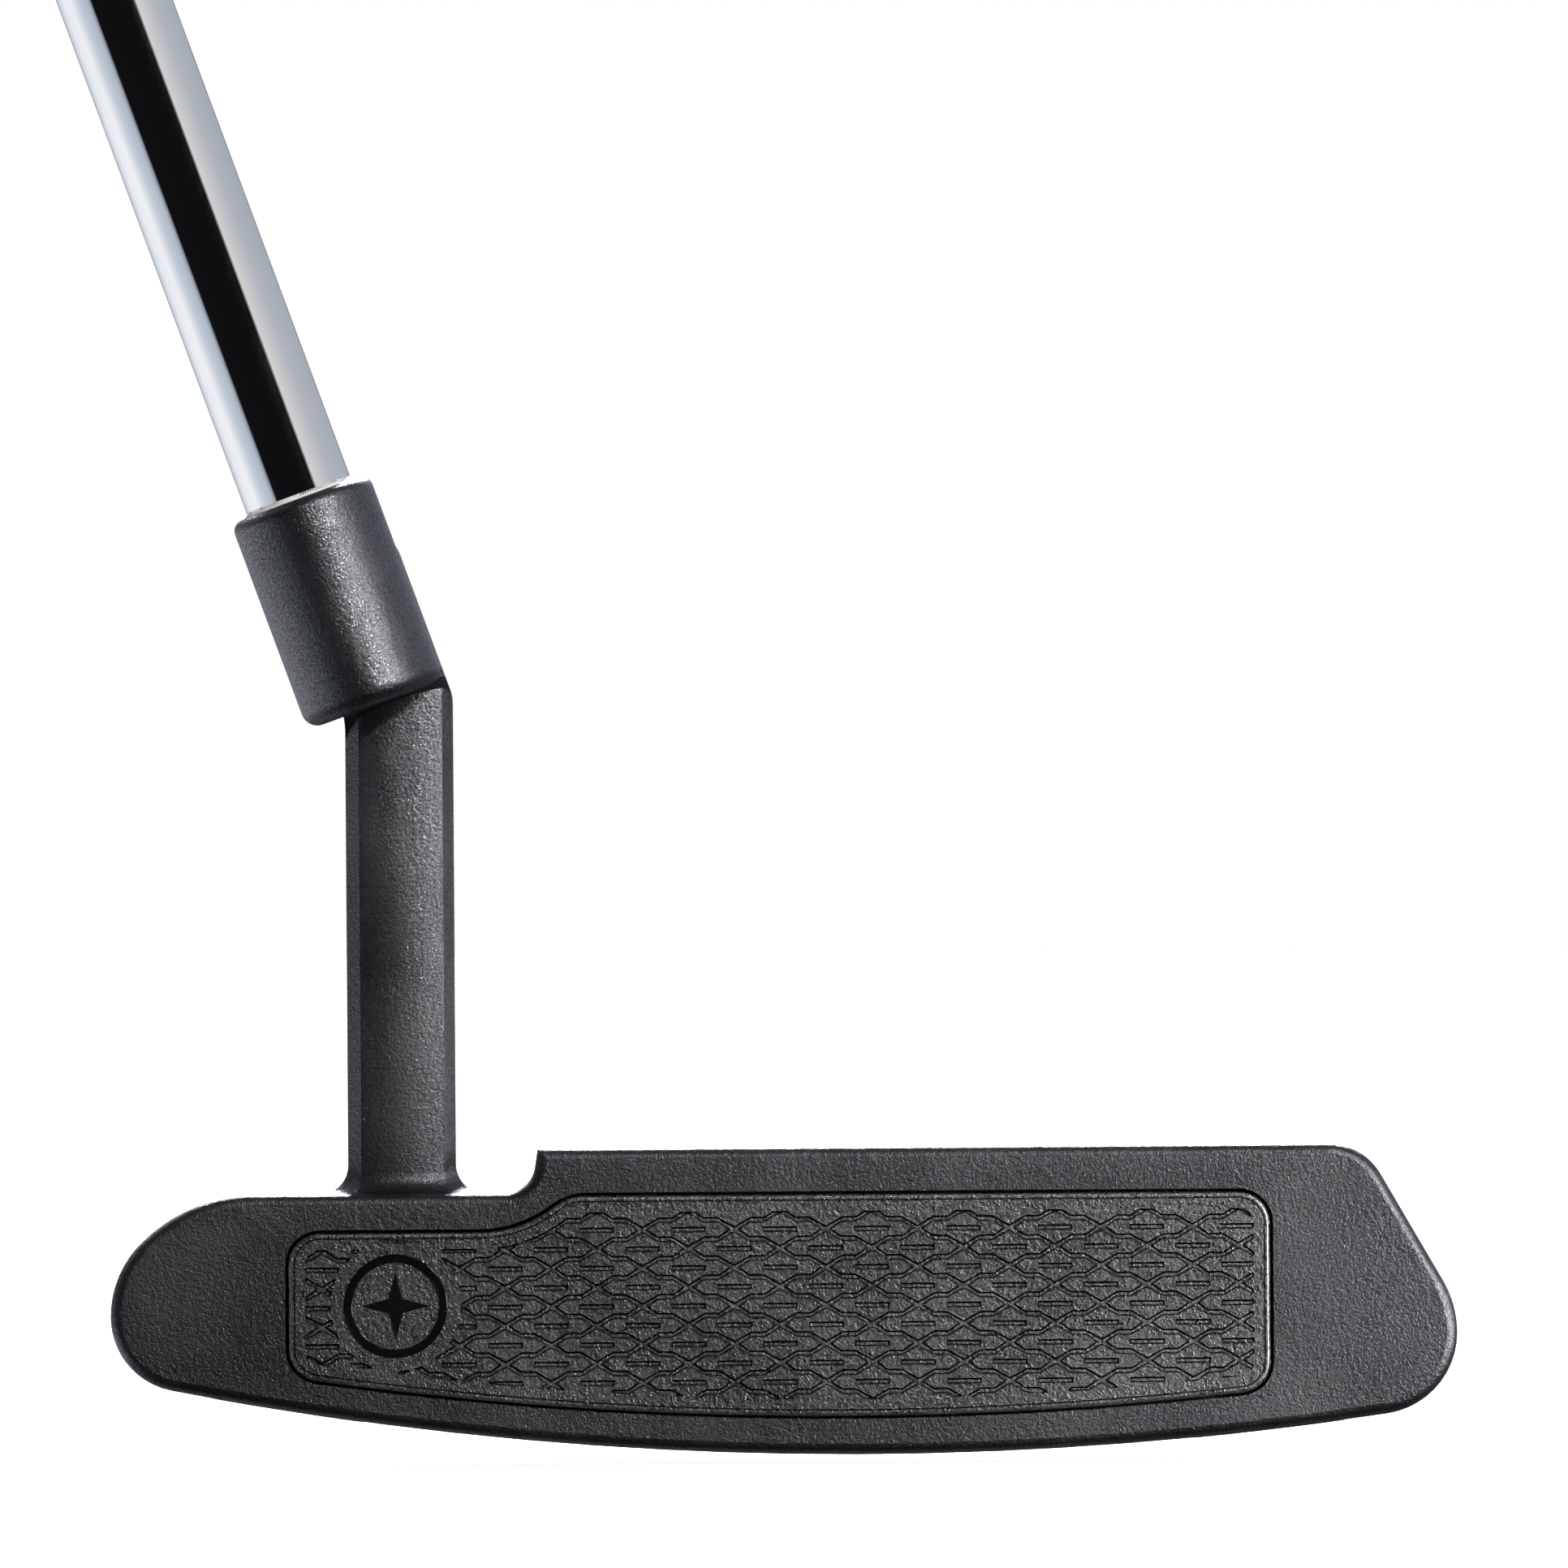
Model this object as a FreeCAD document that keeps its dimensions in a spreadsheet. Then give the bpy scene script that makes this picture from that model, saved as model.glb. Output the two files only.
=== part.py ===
import FreeCAD, Part
import math
import os
import re
import Sketcher

# Blade putter, left-hand reading of the face: heel to -X, toe to +X, face towards -Y, sole down.
# Origin: the lowest point of the sole under the leading edge, at address (lie and loft as played).
# Millimetres.

os.makedirs("parts", exist_ok=True)
doc = FreeCAD.newDocument("BladePutter")
Vec = FreeCAD.Vector
UP = Vec(0, 0, 1)
ACROSS = Vec(1, 0, 0)
BACK = Vec(0, 1, 0)

# ---------------------------------------------------------------- driving dimensions

DIMENSIONS = {
    # head outline, seen square to the face
    "heel_reach": 65.08,
    "toe_reach": 50.35,
    "head_height": 26.38,
    "heel_top": 22.55,
    "sole_radius": 309.1,
    "toe_corner_radius": 7.05,
    "toe_nose_radius": 8.8,
    "toe_slope": 30.0,
    "toe_top_radius": 5.2,
    "notch_reach": 28.38,
    "notch_lean": 9.0,
    "notch_radius": 2.6,
    "heel_top_radius": 13.8,
    "heel_nose_radius": 8.9,
    "heel_corner_radius": 6.45,
    # head section, front to back
    "loft_angle": 3.0,
    "lie_angle": 70.0,
    "head_depth": 26.0,
    "back_corner_radius": 11.0,
    "relief_run": 5.0,
    "relief_rise": 2.6,
    "topline_back": 7.4,
    "bumper_height": 13.5,
    "bumper_slope": 6.0,
    "bumper_root_radius": 3.0,
    "cavity_floor": 7.4,
    "cavity_heel": 24.0,
    "cavity_toe": 27.0,
    "cavity_corner_radius": 5.0,
    "cavity_lip": 0.6,
    "cavity_flare": 3.0,
    "cavity_root_radius": 2.0,
    "shoulder_front": 2.0,
    "shoulder_back": 15.6,
    "shoulder_corner_radius": 3.5,
    "shoulder_heel": 50.0,
    "shoulder_toe": 31.7,
    "face_round": 0.9,
    "back_round": 1.0,
    "shoulder_round": 0.4,
    # neck
    "post_centre": -40.05,
    "post_width": 9.23,
    "post_front": 4.0,
    "post_depth": 8.0,
    "post_crown": 16.0,
    "post_bevel_heel": 1.15,
    "post_bevel_toe": 0.9,
    "post_round": 1.1,
    "knee_heel_radius": 8.0,
    "knee_toe_radius": 3.5,
    "elbow_radius": 4.0,
    "root_radius_front": 1.8,
    "root_radius_side": 2.5,
    "root_radius_back": 2.2,
    "neck_reach": 6.3,
    "neck_rise": 14.0,
    "neck_toe_round": 2.5,
    "neck_heel_round": 3.0,
    "sleeve_diameter": 12.55,
    "sleeve_length": 18.8,
    "sleeve_bottom_x": -41.88,
    "sleeve_bottom_z": 64.54,
    "sleeve_top_round": 1.0,
    "sleeve_bottom_round": 1.4,
    "shaft_axis_y": -4.7,
    "bore_diameter": 9.6,
    "bore_floor": 2.4,
    # face insert
    "insert_heel": 49.8,
    "insert_toe": 34.35,
    "insert_low_top": 19.28,
    "insert_high_top": 22.35,
    "insert_bottom": 3.35,
    "insert_bottom_radius": 319.8,
    "insert_bottom_centre": -1.7,
    "insert_corner_radius": 2.7,
    "ramp_start": -33.5,
    "ramp_run": 9.1,
    "ramp_low_radius": 10.8,
    "insert_gap": 0.28,
    "insert_recess": 0.2,
    "insert_thickness": 3.0,
    "insert_chamfer": 0.25,
    "glue_thickness": 0.25,
    # inlaid emblem
    "emblem_x": -40.61,
    "emblem_z": 13.04,
    "emblem_radius": 4.44,
    "emblem_band": 0.7,
    "star_reach": 2.9,
    "star_waist": 0.85,
    # sole weights
    "weight_heel_x": -50.1,
    "weight_toe_x": 34.2,
    "weight_y": 13.6,
    "weight_diameter": 14.0,
    "weight_head": 2.2,
    "weight_stem_diameter": 9.8,
    "weight_stem": 4.2,
    "weight_rim_round": 0.4,
    "weight_chamfer": 0.5,
    "weight_notch": 0.9,
    "weight_socket": 4.0,
    "washer_thickness": 0.4,
    # sight line
    "sight_x": 0.0,
    "sight_start": 11.0,
    "sight_end": 23.6,
    "sight_width": 1.5,
    "sight_depth": 0.5,
    "paint_thickness": 0.35,
    # shaft and grip, measured along the shaft axis from the ground
    "club_length": 863.6,
    "shaft_tip_diameter": 9.4,
    "shaft_wall": 0.55,
    "tip_length": 180.0,
    "step_length": 28.0,
    "step_growth": 0.483,
    "plug_length": 6.0,
    "grip_length": 266.7,
    "grip_mouth_diameter": 17.8,
    "grip_width": 26.5,
    "grip_depth": 30.5,
    "tape_thickness": 0.25,
    "cap_thickness": 3.0,
    "vent_diameter": 2.4,
}
STEP_COUNT = 12
NOTCH_COUNT = 24
# Notch centres lie outside the rim by this share of the notch's width.
NOTCH_OFFSET = 0.3

sheet = doc.addObject("Spreadsheet::Sheet", "Dimensions")
for row, (alias, value) in enumerate(DIMENSIONS.items(), start=1):
    sheet.set("A%d" % row, alias)
    sheet.set("B%d" % row, str(value))
    sheet.setAlias("B%d" % row, alias)
doc.recompute()


def dim(alias):
    """Value of a spreadsheet cell."""
    return float(getattr(sheet, alias))


def bind(obj, prop, expression):
    """Tie a property to an expression of spreadsheet cells; every alias holds an underscore."""
    obj.setExpression(prop, re.sub(r"[a-z]+_[a-z_]+", lambda word: "Dimensions." + word.group(0), expression))


# ---------------------------------------------------------------- outline and sketch helpers

def point(x, y):
    return Vec(x, y, 0)


def polar(centre, radius, degrees):
    return centre + point(math.cos(math.radians(degrees)), math.sin(math.radians(degrees))) * radius


def arc(centre, radius, start, end):
    """Arc through three points; start and end in degrees, either way round."""
    middle = polar(centre, radius, (start + end) / 2)
    return Part.Arc(polar(centre, radius, start), middle, polar(centre, radius, end))


def line(start, end):
    return Part.LineSegment(start, end)


def rounded_polygon(corners):
    """Closed outline of lines and tangent arcs from (x, y, corner radius) rows."""
    spots = [point(x, y) for x, y, _ in corners]
    curves = []
    ends = []
    for i, (_, _, radius) in enumerate(corners):
        here = spots[i]
        before = (spots[i - 1] - here).normalize()
        after = (spots[(i + 1) % len(spots)] - here).normalize()
        half = before.getAngle(after) / 2
        run = radius / math.tan(half)
        middle = here + (before + after).normalize() * (radius / math.sin(half) - radius)
        ends.append((here + before * run, middle, here + after * run))
    for i, (start, middle, end) in enumerate(ends):
        if corners[i][2] > 0:
            curves.append(Part.Arc(start, middle, end))
        curves.append(line(end, ends[(i + 1) % len(ends)][0]))
    return curves


def fill_sketch(sketch, curves):
    """Add a closed chain of curves and join each curve's end to the next one's start."""
    if len(curves) < 2:
        sketch.addGeometry(curves, False)
        return sketch
    added = sketch.addGeometry(curves, False)
    for this, after in zip(added, added[1:] + added[:1]):
        pairs = [(a, b) for a in (1, 2) for b in (1, 2)
                 if sketch.getPoint(this, a).distanceToPoint(sketch.getPoint(after, b)) < 1e-5]
        sketch.addConstraint(Sketcher.Constraint("Coincident", this, pairs[0][0], after, pairs[0][1]))
    return sketch


PLANES = {
    "XY": FreeCAD.Placement(),
    "XZ": FreeCAD.Placement(Vec(), FreeCAD.Rotation(ACROSS, 90)),
    "YZ": FreeCAD.Placement(Vec(), FreeCAD.Rotation(Vec(1, 1, 1), 120)),
}


def prism(name, plane, curves, along, length, start=0.0, frame=FreeCAD.Placement()):
    """Outline in a main plane of a frame, extruded along a direction of that frame."""
    sketch = doc.addObject("Sketcher::SketchObject", name + "_outline")
    fill_sketch(sketch, curves)
    shift = FreeCAD.Placement(along * start, FreeCAD.Rotation())
    sketch.Placement = frame.multiply(shift).multiply(PLANES[plane])
    solid = doc.addObject("Part::Extrusion", name)
    solid.Base = sketch
    solid.DirMode = "Custom"
    solid.Dir = frame.Rotation.multVec(along)
    solid.Solid = True
    bind(solid, "LengthFwd", length)
    doc.recompute()
    return solid


def combine(kind, name, *parts):
    """Part::Cut (two parts), Part::MultiFuse or Part::MultiCommon."""
    result = doc.addObject(kind, name)
    if kind == "Part::Cut":
        result.Base, result.Tool = parts
    else:
        result.Shapes = list(parts)
    doc.recompute()
    return result


def edge_numbers(shape, test):
    return [i for i, edge in enumerate(shape.Edges, start=1) if test(edge)]


def round_edges(name, base, groups):
    """Part::Fillet; groups are (test, start radius, end radius)."""
    result = doc.addObject("Part::Fillet", name)
    result.Base = base
    rows = []
    for test, start, end in groups:
        rows += [(i, start, end) for i in edge_numbers(base.Shape, test)]
    result.Edges = rows
    doc.recompute()
    return result


def is_parallel(edge, direction):
    """True for a straight edge along a direction."""
    if edge.Curve.TypeId != "Part::GeomLine":
        return False
    return abs(abs(edge.Curve.Direction.dot(direction)) - 1) < 1e-6


def new_body(name):
    body = doc.addObject("PartDesign::Body", name)
    body.Label = name
    return body


def body_sketch(body, plane, curves, name, offset=FreeCAD.Placement()):
    """Sketch on one of the body's own origin planes."""
    sketch = body.newObject("Sketcher::SketchObject", body.Name + "_" + name)
    origin = [o for o in body.Origin.OriginFeatures if o.Role == plane + "_Plane"][0]
    sketch.AttachmentSupport = [(origin, "")]
    sketch.MapMode = "FlatFace"
    sketch.AttachmentOffset = offset
    return fill_sketch(sketch, curves)


def feature(body, kind, name, sketch, **settings):
    """PartDesign feature on a sketch; text settings are expressions of the sheet."""
    made = body.newObject("PartDesign::" + kind, body.Name + "_" + name)
    made.Profile = sketch
    for prop, value in settings.items():
        if isinstance(value, str):
            bind(made, prop, value)
        else:
            setattr(made, prop, value)
    doc.recompute()
    return made


def circle(x, y, radius):
    return [Part.Circle(point(x, y), UP, radius)]


# ---------------------------------------------------------------- frames

# Face frame: the main frame leaned back by the loft about the leading edge.
FACE = FreeCAD.Placement(Vec(), FreeCAD.Rotation(ACROSS, -dim("loft_angle")))

# Shaft frame: origin at the middle of the sleeve's lower end, +Z up the shaft towards the butt.
SHAFT_LEAN = 90 - dim("lie_angle")
SHAFT = FreeCAD.Placement(
    Vec(dim("sleeve_bottom_x"), dim("shaft_axis_y"), dim("sleeve_bottom_z")),
    FreeCAD.Rotation(BACK, -SHAFT_LEAN),
)
# Distance along the axis from the ground to the sleeve's lower end.
GROUND_TO_SLEEVE = dim("sleeve_bottom_z") / math.cos(math.radians(SHAFT_LEAN))


# ---------------------------------------------------------------- head

def head_outline():
    """Silhouette square to the face, counterclockwise from the heel end of the sole."""
    sole_r = dim("sole_radius")
    sole = point(0, sole_r)
    toe_r = dim("toe_corner_radius")
    toe_x = dim("toe_reach") - toe_r
    toe = point(toe_x, sole_r - math.sqrt((sole_r - toe_r) ** 2 - toe_x ** 2))
    toe_sole = math.degrees(math.atan2(toe.y - sole.y, toe.x))
    nose = point(dim("toe_reach") - dim("toe_nose_radius"), toe.y)
    slope = dim("toe_slope")
    nose_end = polar(nose, dim("toe_nose_radius"), slope)
    normal = polar(point(0, 0), 1, slope)
    top_r = dim("toe_top_radius")
    top_z = dim("head_height") - top_r
    top = point((normal.dot(nose_end) - top_r - normal.y * top_z) / normal.x, top_z)
    lean = math.radians(dim("notch_lean"))
    notch_r = dim("notch_radius")
    notch_top = point(-dim("notch_reach"), dim("head_height"))
    notch_z = dim("heel_top") + notch_r
    notch_run = (notch_r + math.sin(lean) * (notch_top.y - notch_z)) / math.cos(lean)
    notch = point(notch_top.x - notch_run, notch_z)
    low_r = dim("heel_corner_radius")
    low_x = low_r - dim("heel_reach")
    low = point(low_x, sole_r - math.sqrt((sole_r - low_r) ** 2 - low_x ** 2))
    heel_sole = math.degrees(math.atan2(low.y - sole.y, low.x))
    mid_r = dim("heel_nose_radius")
    mid = point(mid_r - dim("heel_reach"), low.y)
    high_r = dim("heel_top_radius")
    high_z = dim("heel_top") - high_r
    high = point(mid.x + math.sqrt((high_r - mid_r) ** 2 - (mid.y - high_z) ** 2), high_z)
    heel_turn = 180 - math.degrees(math.atan2(mid.y - high.y, high.x - mid.x))
    return [
        arc(sole, sole_r, heel_sole, toe_sole),
        arc(toe, toe_r, toe_sole, 0),
        arc(nose, dim("toe_nose_radius"), 0, slope),
        line(nose_end, polar(top, top_r, slope)),
        arc(top, top_r, slope, 90),
        line(polar(top, top_r, 90), notch_top),
        line(notch_top, polar(notch, notch_r, -math.degrees(lean))),
        arc(notch, notch_r, -math.degrees(lean), -90),
        line(polar(notch, notch_r, -90), polar(high, high_r, 90)),
        arc(high, high_r, 90, heel_turn),
        arc(mid, mid_r, heel_turn, 180),
        arc(low, low_r, 180, 360 + heel_sole),
    ]


def plan_outline():
    """Top view of the head, with the back corners rounded off; runs past the face at the front."""
    corner = dim("back_corner_radius")
    heel = -dim("heel_reach") - 1
    toe = dim("toe_reach") + 1
    deep = dim("head_depth")
    return rounded_polygon([(heel, -3, 0), (toe, -3, 0), (toe, deep, corner), (heel, deep, corner)])


def shaft_plane_outline():
    """Neck seen square to the face: upright post that bends at the knee to follow the shaft."""
    lean = math.radians(SHAFT_LEAN)
    base = point(dim("sleeve_bottom_x"), dim("sleeve_bottom_z"))
    side = point(math.cos(lean), math.sin(lean))
    rise = point(-math.sin(lean), math.cos(lean))

    def knee(upright_x, reach):
        start = base + side * reach
        return start + rise * ((start.x - upright_x) / math.sin(lean))

    toe_x = dim("post_centre") + dim("post_width") / 2
    heel_x = dim("post_centre") - dim("post_width") / 2
    reach = dim("neck_reach")
    foot = dim("heel_top") - 2
    toe_knee = knee(toe_x, reach)
    heel_knee = knee(heel_x, reach - dim("post_width"))
    toe_top = base + side * reach + rise * dim("neck_rise")
    heel_top = toe_top - side * dim("post_width")
    return rounded_polygon([
        (heel_x, foot, 0),
        (toe_x, foot, 0),
        (toe_knee.x, toe_knee.y, dim("knee_toe_radius")),
        (toe_top.x, toe_top.y, dim("neck_toe_round")),
        (heel_top.x, heel_top.y, dim("neck_heel_round")),
        (heel_knee.x, heel_knee.y, dim("knee_heel_radius")),
    ])


def box(name, frame, x, y, z):
    """Part::Box from (low, high) pairs in a frame."""
    made = doc.addObject("Part::Box", name)
    made.Length, made.Width, made.Height = x[1] - x[0], y[1] - y[0], z[1] - z[0]
    made.Placement = frame.multiply(FreeCAD.Placement(Vec(x[0], y[0], z[0]), FreeCAD.Rotation()))
    doc.recompute()
    return made


# Reach of the cutting blocks past the head, lift of the elbow's underside, shortest long edge of the post.
FAR = 120.0
ELBOW_LIFT = 0.3
POST_EDGE = 30.0
# The block that clears the front of the post reaches this far behind it; outlines overshoot the post's sides.
FRONT_ALLOWANCE = 2.0
OVERSHOOT = 1.0


def in_frame(frame, vector):
    return frame.inverse().multVec(vector)


def post_section():
    """Upright post seen from above: crowned front between two bevels."""
    front = dim("post_front")
    radius = dim("post_crown")
    half = dim("post_width") / 2
    middle = point(dim("post_centre"), front + radius)
    heel = half - dim("post_bevel_heel")
    toe = half - dim("post_bevel_toe")
    heel_turn = -90 - math.degrees(math.asin(heel / radius))
    toe_turn = -90 + math.degrees(math.asin(toe / radius))
    heel_end = polar(middle, radius, heel_turn)
    toe_end = polar(middle, radius, toe_turn)
    wide = half + OVERSHOOT
    heel_side = heel_end + point(heel - wide, wide - heel)
    toe_side = toe_end + point(wide - toe, wide - toe)
    back = front + 2 * dim("post_depth")
    return [
        arc(middle, radius, heel_turn, toe_turn),
        line(toe_end, toe_side),
        line(toe_side, point(toe_side.x, back)),
        line(point(toe_side.x, back), point(heel_side.x, back)),
        line(point(heel_side.x, back), heel_side),
        line(heel_side, heel_end),
    ]


def make_neck():
    """Post, knee and elbow behind the sleeve, with the long edges rounded, and the sleeve itself."""
    front = dim("post_front")
    start = dim("shaft_axis_y")
    depth = "post_front + post_depth - shaft_axis_y"
    blank = prism("neck_blank", "XZ", shaft_plane_outline(), BACK, depth, start)
    behind_front = front + FRONT_ALLOWANCE - start
    space = box("space_under_elbow", SHAFT, (-FAR, FAR), (-FAR, behind_front), (-FAR, ELBOW_LIFT))
    inner = SHAFT.Rotation.multVec(ACROSS)
    elbow = dim("elbow_radius")

    def is_inner_corner(edge):
        middle = edge.CenterOfMass
        return is_parallel(edge, inner) and in_frame(SHAFT, middle).z > 0 and middle.y > 0

    space = round_edges("space_under_elbow_rounded", space, [(is_inner_corner, elbow, elbow)])
    crown = prism("post_section", "XY", post_section(), UP, "%g" % FAR)
    space = combine("Part::Cut", "space_before_post", space, crown)
    square = combine("Part::Cut", "neck_square", blank, space)

    def is_back_edge(edge):
        middle = front + dim("post_depth") / 2
        return is_parallel(edge, UP) and edge.Length > POST_EDGE and edge.CenterOfMass.y > middle

    post = round_edges("neck_post", square, [(
        is_back_edge, dim("post_round"), dim("post_round"))])
    barrel = doc.addObject("Part::Cylinder", "sleeve_blank")
    barrel.Placement = SHAFT
    bind(barrel, "Radius", "sleeve_diameter / 2")
    bind(barrel, "Height", "sleeve_length")
    doc.recompute()
    middle = dim("sleeve_length") / 2
    sleeve = round_edges("sleeve_rounded", barrel, [
        (lambda e: e.Closed and in_frame(SHAFT, e.CenterOfMass).z > middle,
         dim("sleeve_top_round"), dim("sleeve_top_round")),
        (lambda e: e.Closed and in_frame(SHAFT, e.CenterOfMass).z < middle,
         dim("sleeve_bottom_round"), dim("sleeve_bottom_round")),
    ])
    return combine("Part::MultiFuse", "neck", post, sleeve)


def make_relief():
    """Ring that bevels the trailing edge of the sole, turned about the axis of the sole arc."""
    deep = dim("head_depth")
    run, rise = dim("relief_run"), dim("relief_rise")
    slope = rise / run
    profile = rounded_polygon([
        (deep - run - 1 / slope, -1, 0),
        (deep + 1, -1, 0),
        (deep + 1, rise + slope, 0),
    ])
    sketch = doc.addObject("Sketcher::SketchObject", "relief_outline")
    fill_sketch(sketch, profile)
    sketch.Placement = PLANES["YZ"]
    ring = doc.addObject("Part::Revolution", "space_sole_relief")
    ring.Source = sketch
    ring.Axis = BACK
    ring.Base = Vec(0, 0, dim("sole_radius"))
    ring.Angle = 40
    ring.Symmetric = True
    ring.Solid = True
    doc.recompute()
    return ring


def make_blade():
    """Face blade, flange with heel and toe bumpers, cavity and the shoulder under the post."""
    blank = prism("head_blank", "XZ", head_outline(), BACK, "head_depth")
    plan = prism("plan_blank", "XY", plan_outline(), UP, "head_height")
    block = combine("Part::MultiCommon", "head_full", blank, plan)
    block = combine("Part::Cut", "head_block", block, make_relief())

    # Above the bumpers, behind the top line: a floor that falls to the back, open at both ends.
    back = dim("topline_back")
    far_back = FAR / 2
    fall = math.tan(math.radians(dim("bumper_slope"))) * (far_back - back)
    above = prism("space_above_bumpers", "YZ", rounded_polygon([
        (back, far_back, 0),
        (back, dim("bumper_height"), dim("bumper_root_radius")),
        (far_back, dim("bumper_height") - fall, 0),
        (far_back, far_back, 0),
    ]), ACROSS, "%g" % (2 * FAR), -FAR)
    front = dim("shoulder_front")
    corner = dim("shoulder_corner_radius")
    shoulder = prism("shoulder_blank", "XY", rounded_polygon([
        (-dim("shoulder_heel"), front, 0),
        (-dim("shoulder_toe"), front, 0),
        (-dim("shoulder_toe"), dim("shoulder_back"), corner),
        (-dim("shoulder_heel"), dim("shoulder_back"), corner),
    ]), UP, "head_height")
    above = combine("Part::Cut", "space_round_shoulder", above, shoulder)

    # Cavity between the bumpers, down to the flange.
    cavity_front = back + dim("cavity_lip")
    cavity = prism("cavity_blank", "XY", rounded_polygon([
        (-dim("cavity_heel"), cavity_front, dim("cavity_corner_radius")),
        (dim("cavity_toe"), cavity_front, dim("cavity_corner_radius")),
        (dim("cavity_toe") + dim("cavity_flare"), far_back, 0),
        (-dim("cavity_heel") - dim("cavity_flare"), far_back, 0),
    ]), UP, "head_height", dim("cavity_floor"))
    root = dim("cavity_root_radius")

    def is_floor_edge(edge):
        at_floor = all_on(edge, lambda p: p.z - dim("cavity_floor"))
        return at_floor and edge.CenterOfMass.y < far_back - 1

    cavity = round_edges("cavity_rounded", cavity, [(is_floor_edge, root, root)])
    spaces = combine("Part::MultiFuse", "space_behind_blade", above, cavity)
    return combine("Part::Cut", "blade_square", block, spaces)


def insert_outline(grow=0.0):
    """Insert outline in the face plane, sharp cornered; grow moves every side outwards."""
    low = dim("insert_low_top") + grow
    high = dim("insert_high_top") + grow
    rise = dim("insert_high_top") - dim("insert_low_top")
    run = dim("ramp_run")
    turn = 2 * math.degrees(math.atan(rise / run))
    low_r = dim("ramp_low_radius")
    high_r = run / math.sin(math.radians(turn)) - low_r
    start = dim("ramp_start")
    low_centre = point(start, dim("insert_low_top") + low_r)
    high_centre = point(start + run, dim("insert_high_top") - high_r)
    heel = -dim("insert_heel") - grow
    toe = dim("insert_toe") + grow
    radius = dim("insert_bottom_radius") + grow
    bottom = point(dim("insert_bottom_centre"), dim("insert_bottom") + dim("insert_bottom_radius"))
    heel_angle = -180 + math.degrees(math.acos((bottom.x - heel) / radius))
    toe_angle = -math.degrees(math.acos((toe - bottom.x) / radius))
    return [
        arc(bottom, radius, heel_angle, toe_angle),
        line(polar(bottom, radius, toe_angle), point(toe, high)),
        line(point(toe, high), point(high_centre.x, high)),
        arc(high_centre, high_r + grow, 90, 90 + turn),
        arc(low_centre, low_r - grow, turn - 90, -90),
        line(point(start, low), point(heel, low)),
        line(point(heel, low), polar(bottom, radius, heel_angle)),
    ]


# Share of a half width that a corner radius may take without the straight side vanishing.
ALMOST_ROUND = 0.96


def sight_outline():
    half = dim("sight_width") / 2
    x = dim("sight_x")
    corner = half * ALMOST_ROUND
    return rounded_polygon([
        (x - half, dim("sight_start"), corner),
        (x + half, dim("sight_start"), corner),
        (x + half, dim("sight_end"), corner),
        (x - half, dim("sight_end"), corner),
    ])


def weight_frame(x):
    """Origin on the sole, +Z square to the sole and into the head."""
    radius = dim("sole_radius")
    lean = math.degrees(math.asin(x / radius))
    height = radius - math.sqrt(radius ** 2 - x ** 2)
    return FreeCAD.Placement(Vec(x, dim("weight_y"), height), FreeCAD.Rotation(BACK, -lean))


WEIGHTS = {"heel_weight": dim("weight_heel_x"), "toe_weight": dim("weight_toe_x")}
WEIGHT_PROUD = 0.12
COUNTERBORE_CLEARANCE = 0.15
STEM_CLEARANCE = 0.02
HOLE_RUN_OUT = 5.0


def cylinder(name, frame, radius, height, start=0.0):
    """Part::Cylinder along a frame's +Z; radius and height are expressions of the sheet."""
    made = doc.addObject("Part::Cylinder", name)
    made.Placement = frame.multiply(FreeCAD.Placement(UP * start, FreeCAD.Rotation()))
    bind(made, "Radius", radius)
    bind(made, "Height", height)
    doc.recompute()
    return made


def points_on(edge, count=6):
    step = (edge.LastParameter - edge.FirstParameter) / count
    return [edge.valueAt(edge.FirstParameter + step * i) for i in range(count + 1)]


def all_on(edge, height):
    """True where height() is zero all along the edge."""
    return all(abs(height(p)) < 1e-3 for p in points_on(edge))


def round_blade(blade):
    """Small rounds on the face, top line, shoulder, bumpers and flange."""
    deep = dim("head_depth")
    back = dim("topline_back")
    slope = math.tan(math.radians(dim("bumper_slope")))
    face = dim("face_round")
    rear = dim("back_round")
    step = dim("shoulder_round")
    hair = 0.1

    def on_face(edge):
        return all_on(edge, lambda p: in_frame(FACE, p).y)

    def on_top_line(edge):
        return all_on(edge, lambda p: p.y - back) and edge.BoundBox.ZMin > dim("head_height") - hair

    def on_shoulder(edge):
        behind_blade = edge.BoundBox.YMax > back + dim("bumper_root_radius")
        return all_on(edge, lambda p: p.z - dim("heel_top")) and behind_blade

    def on_flange(edge):
        return all_on(edge, lambda p: p.y - deep) and all_on(edge, lambda p: p.z - dim("cavity_floor"))

    def on_bumper(edge):
        return all_on(edge, lambda p: p.z - dim("bumper_height") + slope * (p.y - back))

    def is_rim(edge):
        low = edge.BoundBox
        toe_side = low.XMin > dim("cavity_toe")
        heel_side = low.XMax < -dim("cavity_heel")
        reaches_back = low.YMax > dim("weight_y") + dim("cavity_flare") * 2
        free_of_blade = low.YMin > back + dim("bumper_root_radius")
        return on_bumper(edge) and (heel_side or toe_side and free_of_blade) and reaches_back

    return round_edges("blade", blade, [
        (on_face, face, face),
        (on_top_line, face, face),
        (on_shoulder, step, step),
        (is_rim, rear, rear),
        (on_flange, rear, rear),
    ])


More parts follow.
